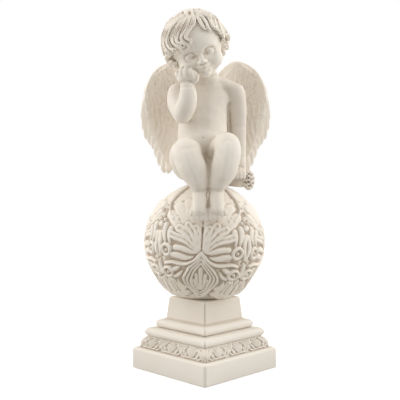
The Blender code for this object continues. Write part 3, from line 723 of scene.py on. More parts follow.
def hair(bm):
    """Lays all the strands on the head, and returns the valleys between them."""
    valleys = []
    for family, (first, last, locks, width, lift, wave, hand) in enumerate(HAIR_FAMILIES):
        before = None
        for i in range(locks * STRANDS):
            lock, strand_in_lock = divmod(i, STRANDS)
            middle = (lock + 0.5) / locks
            own = (i + 0.5) / (locks * STRANDS)
            proud = LOCK_RISES[(lock + family) % 4] * STRAND_RISES[strand_in_lock]
            steps = len(first) - 1
            places = []
            for n, (p, q) in enumerate(zip(first, last)):
                share = own + (middle - own) * 0.4 * (n / steps) ** 2
                places.append(tuple(a + (b - a) * share for a, b in zip(p, q)))
            reach = LOCK_REACH[(lock + 2 * family) % 3] + STRAND_REACH[strand_in_lock]
            places[-1] = (places[-1][0], places[-1][1] + reach)
            path = flowing(places, wave, hand, END_TURNS[strand_in_lock], END_STEP)
            strand(bm, path, width, lift * proud)
            if before:
                between = [((a + c) / 2, (b + d) / 2) for (a, b), (c, d) in zip(before[0], places)]
                course = flowing(between, wave, hand, 0)
                strand(bm, course, width, lift * proud * FILL_RISE)
                low = lift * (proud + before[1]) / 2
                line = [scalp_point(here, low * rise_of(k / len(course)) + 0.5 * width)
                        for k, here in enumerate(course)]
                depth = STRAND_VALLEY if strand_in_lock else LOCK_VALLEY
                valleys.append((line[5:], VALLEY_RADIUS * UNIT, depth * UNIT))
            before = places, proud
    lay_crown(bm)
    lay_curls(bm)
    return valleys


def cherub_head():
    clay = bmesh.new()
    head_mass(clay)
    mass = fused(clay, HEAD_GRAIN, 26)
    carve(mass, head_strokes(SOCKET_MIDDLE, SOCKET_SIDES))
    mass = started_from(mass)
    nose_and_eyes(mass)
    mass = started_from(fused(mass, HAIR_GRAIN, 9))
    lids_and_lips(mass)
    features = fused(mass, HAIR_GRAIN, 3)
    carve(features, head_strokes(FACE_MIDDLE, FACE_SIDES), reach=0.003)
    whole = started_from(features)
    head_lump(whole, (0, -12, 25), (46.5, 49, 45))
    valleys = hair(whole)
    skin = fused(whole, HAIR_GRAIN, 3)
    carve(skin, valleys)
    return new_object("cherub_head", thinned(softened(skin, 1), HEAD_TRIANGLES))


# Wings. The wing's sheet bows back between its root and its outer edge.

SPINE_X = 2
WING_ROOT_X = 18
WING_SPAN = 94
WING_BACK = 33
WING_BOW = 13
WING_CUP = 9
WING_LEAN = 0.13
WING_FOLDED = 0.95
SHEET_LIFTS = (2.4, -2.4)
PANEL_LIFTS = (3.6, -1.0)

# Height on the wing, and how far out its inner and outer edges are there
WING_EDGES = [
    (18, 62, 70), (26, 56, 74), (38, 48, 78), (52, 40, 83), (66, 32, 91), (80, 26, 97), (100, 20, 102),
    (120, 16, 104), (140, 14, 103), (160, 16, 99), (175, 22, 94), (188, 30, 87), (198, 38, 76), (205, 50, 62),
]

# The roll along the leading edge: how far out, height and radius
ARCH = [(14, 134, 9), (20, 162, 9), (32, 187, 7.5), (53, 205.5, 5), (75, 201, 4), (91, 186, 3.4),
        (101, 163, 3), (105.5, 136, 2.6), (106.5, 112, 2.2)]

# Where the wing's sheet folds back towards its outer edge: height on the wing, and how far out
WING_FOLD = ((0, 56), (25, 66), (60, 82), (85, 91), (120, 100), (163, 103), (185, 90), (200, 70), (215, 60))


def wing_point(side, x, z, lift=0.0):
    """A point of the wing's sheet, x out from the spine, lifted towards the front."""
    share = min(max((x - WING_ROOT_X) / WING_SPAN, 0.0), 1.0)
    bow = WING_BOW * math.sin(math.pi * share) - WING_CUP * share**2
    fold = float(np.interp(z, *zip(*WING_FOLD)))
    back = WING_FOLDED * max(0.0, x - fold)
    lean = WING_LEAN * (z - 110)
    return figure_point(SPINE_X + side * x, WING_BACK + bow + back + lean - lift, z)


def feather(bm, side, path, width, thickness, lift, roof=7.0, belly=0.62):
    """A feather along (x, z) places on the wing's sheet. roof tilts it over its neighbour."""
    places = smooth_path(path, 4)
    count = len(places) - 1
    spine = [wing_point(side, x, z, lift * (0.4 + 0.6 * i / count)) for i, (x, z) in enumerate(places)]
    front = 1 if lift >= 0 else -1
    facing = Matrix.Rotation(math.radians(roof) * side * front, 3, "Z") @ FRONT
    blade(bm, spine, width * UNIT, thickness * UNIT, facing, belly=belly)
    ridge = [p + facing * (thickness * UNIT * 0.7 * front) for p in spine[:-1]]
    size = [0.8 * UNIT * (1 - 0.6 * i / count) for i in range(len(ridge))]
    tube(bm, ridge, size, size, facing, 6)


def row_of(first, last, count):
    """count points spread evenly from first to last."""
    return [[a + (b - a) * i / (count - 1) for a, b in zip(first, last)] for i in range(count)]


# The longest feathers, from the outer edge to the hip: root, bend and tip
PRIMARY_WIDTH = 7.2
PRIMARY_THICKNESS = 1.8
PRIMARIES = [
    ((95, 150), (105, 126), (108, 101)), ((92, 142), (103, 114), (107, 85)),
    ((89, 132), (99, 102), (103.5, 71)), ((84, 124), (94, 90), (96, 61)),
    ((78, 116), (87, 80), (89.5, 52)), ((70, 110), (81, 68), (85, 38)),
    ((62, 104), (76, 56), (79.5, 24)), ((52, 100), (68, 46), (73.5, 12)),
    ((44, 96), (58, 44), (66, 11)), ((38, 90), (48, 46), (57, 19)),
]

# Rows of lesser feathers: first and last root, first and last tip, count, half width, lift, bend
FEATHER_THICKNESS = 1.3
FEATHER_ROWS = [
    ((99, 140), (34, 112), (101, 84), (42, 62), 8, 7.0, 1.2, 3.0),
    ((98, 158), (34, 132), (103, 112), (44, 88), 8, 6.6, 2.0, 5.0),
]

# Feathers over the back of each wing, laid out the same way
BACK_ROWS = [
    ((99, 140), (34, 112), (101, 84), (42, 62), 8, 7.2, 2.6, 3.0),
    ((99, 160), (33, 134), (104, 110), (42, 86), 8, 7.0, 3.6, 4.0),
    ((94, 180), (34, 156), (102, 134), (42, 112), 8, 6.6, 4.6, 4.0),
    ((82, 196), (38, 178), (95, 158), (42, 138), 7, 6.4, 5.4, 3.0),
]

# The upper panel: height on the wing, and how far out its inner and outer edges are there
WING_PANEL = [(112, 28, 103), (120, 20, 104), (140, 16, 103), (160, 18, 99), (175, 24, 94), (188, 32, 87),
              (198, 40, 76), (204, 50, 63)]

# Rows of small curled feathers on the panel: the first and last place, and how many; and their lift
CURL_ROWS = [((99, 126), (42, 104), 6), ((99, 143), (46, 122), 6), ((97, 158), (50, 141), 5),
             ((91, 172), (52, 158), 5), ((83, 186), (56, 176), 4)]
CURL_LIFT = 3.4


def curl_strokes(side):
    """Ridges and grooves of small curled feathers on the upper panel, in staggered rows."""
    strokes = []
    for row, ((x0, z0), (x1, z1), count) in enumerate(CURL_ROWS):
        for i in range(count):
            t = (i + 0.5 * (row % 2) * (count - 1 - i) / count) / (count - 1)
            x, z = x0 + (x1 - x0) * t, z0 + (z1 - z0) * t
            size = 1 + 0.2 * math.sin(5 * i + 3 * row)
            hand = 1 if (i + row) % 3 else -1
            places = [(x + 4.5 * size, z + 15), (x + 3 * size, z + 9)]
            for k in range(12):
                angle = math.radians(55 - 26 * k * (1 + 0.1 * math.sin(i + row)))
                reach = (6.6 - 0.42 * k) * size
                places.append((x + hand * reach * math.cos(angle) * 0.6, z + reach * math.sin(angle) * 1.2))
            strength = 0.75 + 0.35 * math.sin(3 * i + 2 * row + 1)
            curl = [wing_point(side, a, b, CURL_LIFT) for a, b in places]
            strokes.append((curl, 1.8 * UNIT, -strength * UNIT))
            spine = [(x - 2.6 * size, z + 15), (x - 4.4 * size, z + 6), (x - 3.0 * size, z - 3)]
            rib = [wing_point(side, a, b, CURL_LIFT) for a, b in smooth_path(spine, 3)]
            strokes.append((rib, 2.4 * UNIT, 0.7 * strength * UNIT))
    return strokes


def wing_sheet(bm, side, outline, lifts):
    """A slab between the outline's inner and outer edges, from one lift to the other."""
    rows = smooth_path(outline, 3)
    grids = [
        [[wing_point(side, inner + (outer - inner) * j / 16, z, lift) for j in range(17)]
         for z, inner, outer in rows]
        for lift in lifts
    ]
    sheet(bm, *grids)


def wing(side, name):
    bm = bmesh.new()
    limb(bm, [(*wing_point(side, x, z, 1), r * UNIT) for x, z, r in ARCH], steps=8)
    wing_sheet(bm, side, WING_EDGES, SHEET_LIFTS)
    wing_sheet(bm, side, WING_PANEL, PANEL_LIFTS)
    for front, first_lift, step, rows in ((1, 0.3, 0.15, FEATHER_ROWS), (-1, 1.4, 0.1, BACK_ROWS)):
        for i, path in enumerate(PRIMARIES):
            lift = front * (first_lift + step * i)
            feather(bm, side, path, PRIMARY_WIDTH, PRIMARY_THICKNESS, lift, belly=0.7)
        for first, last, tip_first, tip_last, count, width, lift, bend in rows:
            for (x0, z0), (x1, z1) in zip(row_of(first, last, count), row_of(tip_first, tip_last, count)):
                bent = ((x0 + x1) / 2 + bend, (z0 + z1) / 2 + 1)
                path = ((x0, z0), bent, (x1 + 0.3 * bend, z1 + 4), (x1 - bend, z1 - 1))
                feather(bm, side, path, width, FEATHER_THICKNESS, front * lift)
    skin = fused(bm, WING_GRAIN, 2)
    carve(skin, curl_strokes(side), reach=0.004)
    return new_object(name, thinned(skin, WING_TRIANGLES))


# Globe: relief worked out as a height over the ball, from strokes on one panel. Below FOOT_START the ball is
# drawn out to a wider bed.

FOOT_RADIUS = 0.045
FOOT_START = 0.055

PANELS = 4
PATTERN_ROLL = math.radians(3.2)
PATTERN_TURN = math.radians(2.8)
GLOBE_GROUND = 2.2
BALL_SUBDIVISIONS = 8
RING_POINTS = 24

# How far the carver's hand strays from the pattern, in degrees, and the stone's roughness in millimetres
DRIFT = 0.55
WANDER = 0.5
ROUGHNESS = 0.25


def ring(centre, radius, start):
    """(turn, rise) places once round a centre, from a start angle in degrees."""
    places = []
    for i in range(RING_POINTS):
        angle = math.radians(start - 360 * (i / (RING_POINTS - 1)))
        places.append((centre[0] + radius * math.cos(angle) / math.cos(math.radians(centre[1])),
                       centre[1] + radius * math.sin(angle)))
    return tuple(places)


def half_panel():
    """Strokes of half a panel, as (places, half width, height, kind). places are (turn, rise) in degrees from
    the panel's middle; half width is in degrees, height in millimetres."""
    strokes = []
    for tip, width in (((7, 37), 6.6), ((18, 39), 6.4), ((29, 35), 6.0), ((36, 26), 5.4)):
        strokes.append((((5, 2), ((5 + tip[0]) / 2 + 1, tip[1] * 0.55), tip), width, 2.4, "leaf"))
    for tip, width in (((5.4, 14), 4.3), ((13.6, 16.6), 4.5), ((22, 14.2), 4.4), ((29.2, 7.8), 4.0)):
        middle = (1.8 + 0.42 * (tip[0] - 1.8), -6 + 0.6 * (tip[1] + 6))
        strokes.append((((1.8, -6), middle, tip), width, 5.0, "petal"))
    strokes += [
        (((3, -7), (13, -5.5), (25, -4)), 2.7, 4.4, "leaf"),
        (((8, -11.5), (16, -12.2), (27, -10.5)), 2.8, 4.4, "leaf"),
        (ring((34.2, -6.5), 4.6, 90), 1.9, 5.2, "cord"),
        (((34.2, -6.5), (34.3, -6.6)), 1.7, 5.0, "cord"),
        (((31, 0), (32.5, 6), (30.5, 12)), 2.8, 3.8, "leaf"),
        (((36, 0), (38.4, 7), (37.6, 15)), 3.2, 4.2, "leaf"),
        (((44, -14), (42, -4), (43.4, 8)), 2.8, 4.2, "leaf"),
        (((0, -3), (2, -8), (6, -13.5), (13, -17.5), (22, -19), (30, -18), (37, -19)), 1.7, 5.0, "cord"),
        (((0, -8.5), (4, -15), (11.5, -22), (17.5, -31), (16.5, -41), (9, -51), (0, -58)), 1.4, 4.6, "cord"),
        (((0, -13), (3.6, -18), (9.5, -24.5), (14, -32), (13, -41), (7, -49.5), (0, -54.5)),
         1.2, 4.1, "cord"),
        (((0, -17), (3, -21), (7.2, -26.5), (10.4, -33), (9.6, -41), (5, -47.5), (0, -51)), 1.1, 3.7, "cord"),
        (((0, -47), (0, -36), (0, -23)), 1.9, 4.2, "petal"),
        (((1, -47), (4.2, -38), (4.6, -29.5)), 1.7, 3.9, "petal"),
        (((2, -47), (6.6, -41), (7.6, -35.5)), 1.5, 3.6, "petal"),
        (ring((35.5, -28), 4.8, 95), 1.7, 5.2, "cord"),
        (((35.5, -28), (35.6, -28.1)), 1.9, 5.2, "cord"),
        (((22, -22), (26, -24.5), (29, -26)), 2.4, 4.2, "leaf"),
        (((20, -26), (24, -31), (29, -33)), 2.2, 4.0, "leaf"),
        (((35, -35), (30, -46), (20, -55)), 4.4, 4.6, "leaf"),
        (((27, -37), (25, -42), (20.5, -46)), 2.6, 3.8, "leaf"),
        (((39, -36), (37, -48), (31, -60)), 4.2, 4.4, "leaf"),
        (((45, -34), (45, -45), (45, -60)), 4.2, 4.8, "leaf"),
        (((45, -18), (45, -24), (45, -29)), 3.0, 4.4, "leaf"),
        (((45, 64), (45, 42), (39, 29), (32, 22)), 1.4, 3.6, "cord"),
        (((43.5, 19), (44, 16)), 2.2, 3.8, "leaf"),
        (((45, 27), (45, 25)), 1.9, 4.0, "leaf"),
        (((40, 22), (41, 21)), 1.7, 3.8, "leaf"),
        (((25, 24), (26, 23)), 1.6, 3.6, "leaf"),
        (((45, 34), (45, 33)), 1.5, 3.6, "leaf"),
    ]
    return strokes


GROOVES = [
    (((0, 16), (0, 4), (0, -5)), 1.0, 3.6),
    (((0, -5), (3, -8), (7.4, -12.4), (14, -15.6), (22, -16.6), (31, -15.4)), 0.8, 3.0),
    (((0, -48), (0, -49)), 1.2, 2.6),
    (((41.5, -17), (45, -15)), 1.1, 2.0),
    (((33, -38), (27, -50)), 0.7, 1.3),
    (((37, -39), (34, -52)), 0.7, 1.3),
    (((45, -36), (45, -54)), 0.8, 1.4),
    (((42.5, 24), (42.6, 23.8)), 1.2, 2.4),
]


def stroke_height(points, places, width, height, kind):
    """Height that a stroke gives each point; points and places are in one flat measure."""
    line = np.array(places, float)
    low, high = line.min(0) - width, line.max(0) + width
    near = np.flatnonzero(((points >= low) & (points <= high)).all(1))
    out = np.zeros(len(points))
    if not len(near):
        return out
    distance, along = distance_to_line(points[near], line)
    if kind == "cord":
        reach = np.full(len(near), width)
    else:
        belly = np.where(along < 0.72, 0.34 + 0.66 * np.sin(0.5 * np.pi * along / 0.72), 1.0)
        reach = width * belly
    share = np.clip(distance / reach, 0, 1)
    dome = np.sqrt(1 - share**2)
    if kind == "petal":
        dish = 0.5 + 0.5 * np.clip(share / 0.72, 0, 1) ** 2
        dome = np.minimum(dome, dish) * np.clip((1 - share) / 0.22, 0, 1) ** 0.5
    if kind == "leaf":
        dome = dome * (0.8 + 0.2 * np.clip(share / 0.35, 0, 1))
    out[near] = height * dome
    return out


def flat_places(places):
    """(turn, rise) places as degrees measured along the ball's surface."""
    return [(turn * math.cos(math.radians(rise)), rise) for turn, rise in places]


def relief(unit):
    """Height of the carving in millimetres, at unit directions from the ball's middle."""
    to_pattern = Matrix.Rotation(PATTERN_TURN, 3, "Z") @ Matrix.Rotation(-PATTERN_ROLL, 3, "Y")
    local = unit @ np.array(to_pattern).T
    around = np.degrees(np.arctan2(local[:, 0], -local[:, 1]))
    rise = np.degrees(np.arcsin(np.clip(local[:, 2], -1, 1)))
    width = 360 / PANELS
    turn = np.abs((around + width / 2) % width - width / 2)
    shrink = np.cos(np.radians(rise))
    drift = DRIFT * np.sin(0.31 * rise + 0.17 * around) * np.clip(turn / 8, 0, 1)
    flat_rise = rise + WANDER * np.sin(0.27 * turn + 0.11 * rise)
    height = np.zeros(len(unit))
    for mirrored in (False, True):
        across = (width - turn if mirrored else turn) * shrink
        points = np.stack([across + drift, flat_rise], axis=1)
        for places, half, lift, kind in half_panel():
            if mirrored and max(p[0] for p in places) < width / 2 - 8:
                continue
            path = smooth_path(flat_places(places), 6) if len(places) > 2 else flat_places(places)
            height = np.maximum(height, stroke_height(points, path, half, lift, kind))
    points = np.stack([turn * shrink, flat_rise], axis=1)
    for places, half, depth in GROOVES:
        height -= stroke_height(points, smooth_path(flat_places(places), 6), half, depth, "cord")
    pits = np.sin(41 * unit[:, 0] + 3) * np.sin(37 * unit[:, 1]) * np.sin(43 * unit[:, 2] + 1)
    return height + ROUGHNESS * pits


def spread_foot(co):
    """Draws the ball's underside out to its wider bed."""
    bed = GLOBE_CENTRE.z - GLOBE_BED
    down = np.clip(GLOBE_CENTRE.z - co[:, 2], 0, bed)
    sink = bed - math.sqrt(GLOBE_RADIUS**2 - FOOT_RADIUS**2)
    share = np.clip((down - FOOT_START) / (bed - FOOT_START), 0, 1)
    lower = down - sink * share * share * (3 - 2 * share)
    co[:, :2] *= np.sqrt((GLOBE_RADIUS**2 - lower**2) / (GLOBE_RADIUS**2 - down**2))[:, None]
    co[:, 2] = np.maximum(co[:, 2], GLOBE_BED)


def globe():
    bm = bmesh.new()
    bmesh.ops.create_icosphere(bm, subdivisions=BALL_SUBDIVISIONS, radius=1)
    mesh = mesh_from(bm, "globe")
    unit = coordinates(mesh)
    unit /= np.linalg.norm(unit, axis=1)[:, None]
    radius = GLOBE_RADIUS + (relief(unit) - GLOBE_GROUND) / 1000
    put_back(mesh, unit * radius[:, None] + np.array(GLOBE_CENTRE))
    mesh = softened(mesh, 5)
    co = coordinates(mesh)
    spread_foot(co)
    put_back(mesh, co)
    return new_object("globe", thinned(mesh, GLOBE_TRIANGLES))


# Plinth: rings of rounded squares laid up its profile, with the band's carving worked out as a height

SLAB_SIDE = 0.1755
SLAB_HEIGHT = 0.035
SLAB_ROUNDING = 0.0045
FRIEZE_FOOT_SIDE = 0.158
FRIEZE_TOP_SIDE = 0.141
FRIEZE_HEIGHT = 0.019
FRIEZE_BULGE = 0.0025
LOWER_ROLL_SIDE = 0.146
UPPER_ROLL_SIDE = 0.119
ROLL_HEIGHT = 0.014
ROLL_JOINT = 0.0005
LEDGE_SIDE = 0.101
COVE_HEIGHT = 0.004
BLOCK_FOOT_SIDE = 0.093
BLOCK_TOP_SIDE = 0.0865
BLOCK_ROUNDING = 0.003
SIDE_STEPS = 230
CORNER_STEPS = 10
FRONT_CORNER = 2
SEAM_DEPTH = 0.0008
WAVES = 0.0012

# The band's carving: three clusters to a side, in millimetres along from its middle and up from the slab
CLUSTER_PITCH = 45
CORNER_LEAF = 68
BAND_GROUND = 0.9
BAND_FADE = 1.2
BAND_SQUEEZE = 0.93
HOLE_DEPTH = 3.0
BAND_HALF = [
    (((0, 2.4), (0, 10), (0, 17.4)), 2.1, 3.2, "petal"),
    (((0.4, 2.4), (2.6, 9.6), (4.6, 16.4)), 2.0, 3.1, "petal"),
    (((0.8, 2.4), (5.0, 8.0), (8.8, 13.4)), 2.0, 3.0, "petal"),
    (((2.4, 2.8), (9.0, 3.2), (14.2, 8.0), (15.6, 13), (12.2, 16.8)), 1.9, 3.0, "leaf"),
    (((10.4, 2.8), (15.4, 2.4), (19.8, 5.6), (21.4, 9.6)), 1.8, 2.8, "leaf"),
    (((18.2, 8.2), (19.4, 12.4), (17.8, 17.2)), 1.7, 2.6, "leaf"),
    (((22.5, 7.4), (22.5, 12.4), (22.5, 17.6)), 1.7, 2.9, "petal"),
    (((9.8, 6.0), (10.8, 8.4)), 1.4, 2.4, "leaf"),
]
BAND_STROKES = BAND_HALF + [
    (tuple((-x, z) for x, z in places), half, lift, kind) for places, half, lift, kind in BAND_HALF
]
HOLES_HALF = [((5.0, 5.2), 1.1), ((12.0, 11.0), 1.4), ((8.6, 16.2), 1.2), ((16.0, 5.8), 1.2),
              ((21.4, 3.2), 1.3), ((20.6, 15.6), 1.0)]
BAND_HOLES = HOLES_HALF + [((-x, z), half) for (x, z), half in HOLES_HALF]


def arc(side, height, radius, start, end, steps):
    """(side, height) along a rounding of the profile, angles in degrees from outward."""
    angles = [math.radians(start + (end - start) * k / steps) for k in range(steps + 1)]
    return [(side + 2 * radius * math.cos(a), height + radius * math.sin(a)) for a in angles]


def straight(first, last, steps):
    return [tuple(a + (b - a) * k / steps for a, b in zip(first, last)) for k in range(steps + 1)]


def band_side(share):
    """Width of the carved band at a share of its height; it swells a little."""
    plain = FRIEZE_FOOT_SIDE + (FRIEZE_TOP_SIDE - FRIEZE_FOOT_SIDE) * share
    return plain + 2 * FRIEZE_BULGE * math.sin(math.pi * share)


def plinth_profile():
    """(side, height) from the underside's edge to the block's top edge."""
    soft = SLAB_ROUNDING / 2
    rows = arc(SLAB_SIDE - 2 * soft, soft, soft, -90, 0, 3)
    rows += arc(SLAB_SIDE - 2 * SLAB_ROUNDING, SLAB_HEIGHT - SLAB_ROUNDING, SLAB_ROUNDING, 0, 88, 7)
    rows += [(band_side(k / 36), SLAB_HEIGHT + FRIEZE_HEIGHT * k / 36) for k in range(36)]
    height, radius = SLAB_HEIGHT + FRIEZE_HEIGHT, ROLL_HEIGHT / 2
    rows += arc(LOWER_ROLL_SIDE - 2 * radius, height + radius, radius, -80, 90, 14)
    height += ROLL_HEIGHT + ROLL_JOINT
    rows += arc(UPPER_ROLL_SIDE - 2 * radius, height + radius, radius, -80, 90, 14)
    height += ROLL_HEIGHT
    foot, top = height + COVE_HEIGHT, PLINTH_TOP - BLOCK_ROUNDING
    rows += [(LEDGE_SIDE, height + ROLL_JOINT / 4)]
    rows += arc(LEDGE_SIDE - 0.001, foot, COVE_HEIGHT - ROLL_JOINT, -90, -178, 5)
    rows += straight((BLOCK_FOOT_SIDE, foot + ROLL_JOINT), (BLOCK_TOP_SIDE, top), 8)
    rows += arc(BLOCK_TOP_SIDE - 2 * BLOCK_ROUNDING, top, BLOCK_ROUNDING, 10, 90, 4)
    return rows


def square_samples():
    """Round a square from the corner at 45 degrees: the straight part's place from -1 to 1 each way, and the
    way outward."""
    samples = []
    for corner in range(4):
        turn = math.radians(90 * corner)
        here = np.array([math.cos(turn) - math.sin(turn), math.sin(turn) + math.cos(turn)])
        following = np.array([-here[1], here[0]])
        for k in range(CORNER_STEPS):
            angle = turn + math.radians(90 * k / CORNER_STEPS)
            samples.append((*here, math.cos(angle), math.sin(angle)))
        angle = turn + math.radians(90)
        for j in range(SIDE_STEPS):
            middle = here + (following - here) * j / SIDE_STEPS
            samples.append((*middle, math.cos(angle), math.sin(angle)))
    return np.array(samples)


def band_height(along, up):
    """Height of the band's carving in millimetres at places along and up one side."""
    points = np.stack([along, up], axis=1)
    height = np.zeros(len(points))
    for cluster in (-1, 0, 1):
        shift = np.array([cluster * CLUSTER_PITCH, 0])
        for places, half, lift, kind in BAND_STROKES:
            path = smooth_path(places, 3) if len(places) > 2 else places
            height = np.maximum(height, stroke_height(points - shift, path, half, lift, kind))
    for end in (-1, 1):
        for tip, half in ((0, 3.4), (-5.4, 2.6)):
            leaf = ((end * CORNER_LEAF, 1.5), (end * (CORNER_LEAF + tip * 0.6), 9),
                    (end * (CORNER_LEAF + tip), 16))
            height = np.maximum(height, stroke_height(points, smooth_path(leaf, 3), half, 2.8, "petal"))
    for cluster in (-1, 0, 1):
        for (x, z), radius in BAND_HOLES:
            hole = ((cluster * CLUSTER_PITCH + x, z), (cluster * CLUSTER_PITCH + x + 0.1, z + 0.1))
            height -= stroke_height(points, hole, radius, HOLE_DEPTH, "cord")
    foot, top = np.clip(up / BAND_FADE, 0, 1), np.clip((1000 * FRIEZE_HEIGHT - up) / BAND_FADE, 0, 1)
    return (height - BAND_GROUND) * foot * top


def plinth():
    samples, rows = square_samples(), plinth_profile()
    around, count = len(samples), len(rows)
    x, y, out_x, out_y = samples.T
    along = y * out_x - x * out_y
    corners = np.abs(x) + np.abs(y) > 2 - 1e-6
    along[corners] = np.sign(along[corners] + 1e-9)
    along *= BAND_SQUEEZE * 1000 * (FRIEZE_FOOT_SIDE / 2 - BLOCK_ROUNDING)
    co = np.zeros((count, around, 3))
    for i, (side, height) in enumerate(rows):
        rounding = SLAB_ROUNDING if height <= SLAB_HEIGHT else BLOCK_ROUNDING
        reach = side / 2 - rounding
        lift = np.zeros(around)
        share = (height - SLAB_HEIGHT) / FRIEZE_HEIGHT
        if 0 < share < 1:
            lift += band_height(along, np.full(around, share * FRIEZE_HEIGHT * 1000)) / 1000
        if share > 1:
            lift[FRONT_CORNER * (SIDE_STEPS + CORNER_STEPS) + CORNER_STEPS // 2] -= SEAM_DEPTH
        co[i, :, :2] = samples[:, :2] * reach + samples[:, 2:4] * (rounding + lift)[:, None]
        co[i, :, 2] = height
    turn = np.array(Matrix.Rotation(math.radians(45), 3, "Z"))
    co = co.reshape(-1, 3) @ turn.T
    rough = np.sin(97 * co[:, 0] + 31 * co[:, 2]) * np.sin(83 * co[:, 1] - 2)
    rough += np.sin(61 * co[:, 2] + 53 * co[:, 0])
    inside = (co[:, 2] > SLAB_ROUNDING) & (co[:, 2] < PLINTH_TOP - BLOCK_ROUNDING)
    co[:, :2] *= (1 - WAVES * (1 + rough / 2) * inside)[:, None]
    faces = []
    for i in range(count - 1):
        for k in range(around):
            j = (k + 1) % around
            faces.append((i * around + k, i * around + j, (i + 1) * around + j, (i + 1) * around + k))
    faces.append(tuple(range(around))[::-1])
    faces.append(tuple(range((count - 1) * around, count * around)))
    mesh = bpy.data.meshes.new("plinth")
    mesh.from_pydata(co.tolist(), [], faces)
    mesh.update()
    return new_object("stepped_plinth", mesh)


# Stone


def cavity(mesh, rounds):
    """How far each vertex lies below its surroundings, in metres: under 0 on a ridge, over 0 in a crease."""
    co, normal = coordinates(mesh), normals_of(mesh)
    ends = np.empty(len(mesh.edges) * 2, np.int32)
    mesh.edges.foreach_get("vertices", ends)
    a, b = ends[0::2], ends[1::2]
    count = np.bincount(a, minlength=len(co)) + np.bincount(b, minlength=len(co))
    smooth = co.copy()
    for _ in range(rounds):
        total = np.zeros_like(smooth)
        for axis in range(3):
            total[:, axis] = np.bincount(a, smooth[b, axis], len(co))
            total[:, axis] += np.bincount(b, smooth[a, axis], len(co))
        smooth = total / np.maximum(count, 1)[:, None]
    return ((smooth - co) * normal).sum(1)


def tint(mesh, scale):
    """Stores how far the skin's hollows sink and its ridges stand out, as an attribute that the stone reads:
    painted shade in the hollows, a painted highlight on the ridges.
    """
    value = 0.6 * cavity(mesh, 4) / (scale * 0.35) + 0.4 * cavity(mesh, 24) / scale
    attribute = mesh.attributes.new("hollow", "FLOAT", "POINT")
    attribute.data.foreach_set("value", np.clip(value, -1, 1).astype(np.float32))


def added(tree, kind, inputs=None, **options):
    """A new node of the tree. An input is given a value, or the output that it is joined to."""
    node = tree.nodes.new(kind)
    for name, value in options.items():
        setattr(node, name, value)
    for key, value in (inputs or {}).items():
        if isinstance(value, bpy.types.NodeSocket):
            tree.links.new(value, node.inputs[key])
        else:
            node.inputs[key].default_value = value
    return node


# Stone: its darker and lighter tone, the tone of the painted shade in its creases and the tone of the painted
# highlight on its ridges
STONE_TONES = ((0.77, 0.70, 0.61), (0.83, 0.775, 0.70))
PAINTED_SHADE_TONE = (0.45, 0.36, 0.27, 1)
PAINTED_HIGHLIGHT_TONE = (0.90, 0.86, 0.79, 1)


def stone(name, crease_shade, painted_lightness):
    """Pale cast stone with painted shade in its hollows and a painted highlight on its ridges. After its name
    come how far the painted shade darkens the hollows, and how much lighter or darker this copy of the one
    stone is painted than the others, to make up for the shade on its piece.
    """
    material = bpy.data.materials.new(name)
    material.use_nodes = True
    tree = material.node_tree
    shader = tree.nodes["Principled BSDF"]
    shader.inputs["Roughness"].default_value = 0.72
    shader.inputs["Specular IOR Level"].default_value = 0.28
    place = added(tree, "ShaderNodeTexCoord").outputs["Object"]
    broad = added(tree, "ShaderNodeTexNoise", {"Scale": 9, "Detail": 4, "Vector": place})
    fine = added(tree, "ShaderNodeTexNoise", {"Scale": 420, "Detail": 5, "Vector": place})
    base = added(tree, "ShaderNodeValToRGB", {"Fac": broad.outputs["Fac"]})
    # painted lightness: the tones are scaled so that this piece's copy of the stone is painted lighter or
    # darker, making up for the shade on it
    for element, position, tone in zip(base.color_ramp.elements, (0.3, 0.7), STONE_TONES):
        element.position = position
        element.color = (*[c * painted_lightness for c in tone], 1)
    hollow = added(tree, "ShaderNodeAttribute", attribute_name="hollow").outputs["Fac"]
    # painted shade: the hollows are darkened towards brown, standing in for the shade that falls in them
    painted_shade_amount = added(tree, "ShaderNodeMapRange", {"From Min": 0.12, "To Max": crease_shade, "Value": hollow})
    painted_shade_mix = added(tree, "ShaderNodeMix", {"B": PAINTED_SHADE_TONE}, data_type="RGBA")
    # painted highlight: the ridges are lightened towards near white, standing in for light catching the edges
    ridges = {"From Min": -0.1, "From Max": -0.9, "To Max": 0.5, "Value": hollow}
    painted_highlight_amount = added(tree, "ShaderNodeMapRange", ridges)
    painted_highlight_mix = added(tree, "ShaderNodeMix", {"B": PAINTED_HIGHLIGHT_TONE}, data_type="RGBA")
    grain = {"Strength": 0.18, "Distance": 0.0006, "Height": fine.outputs["Fac"]}
    bump = added(tree, "ShaderNodeBump", grain)
    link = tree.links.new
    link(painted_shade_amount.outputs["Result"], painted_shade_mix.inputs["Factor"])
    link(base.outputs["Color"], painted_shade_mix.inputs["A"])
    link(painted_highlight_amount.outputs["Result"], painted_highlight_mix.inputs["Factor"])
    link(painted_shade_mix.outputs["Result"], painted_highlight_mix.inputs["A"])
    link(painted_highlight_mix.outputs["Result"], shader.inputs["Base Color"])
    link(bump.outputs["Normal"], shader.inputs["Normal"])
    return material


def finish_piece(obj, material, node, scale):
    """Gives a piece its stone; scale is the depth in metres of a hollow that gets the full painted shade."""
    obj.data.materials.clear()
    obj.data.materials.append(material)
    obj.data.shade_smooth()
    tint(obj.data, scale)
    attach(obj, "root")
    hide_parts(node)


# Studio

SIDE_LIGHT = 3.0
DIM_LIGHT = 0.43
SOFTBOX_OUT = 1.1
SOFTBOX_POWER = 1.5
SOFTBOX_SIZE = 0.9
FLOOR_TONE = (0.48, 0.475, 0.46, 1)
FLOOR_GLOW = 0.64
CAMERA_PLACE = (-0.00765, -1.1475, 0.3014)
CAMERA_DIP = 0.81
CAMERA_LENS = 60.75


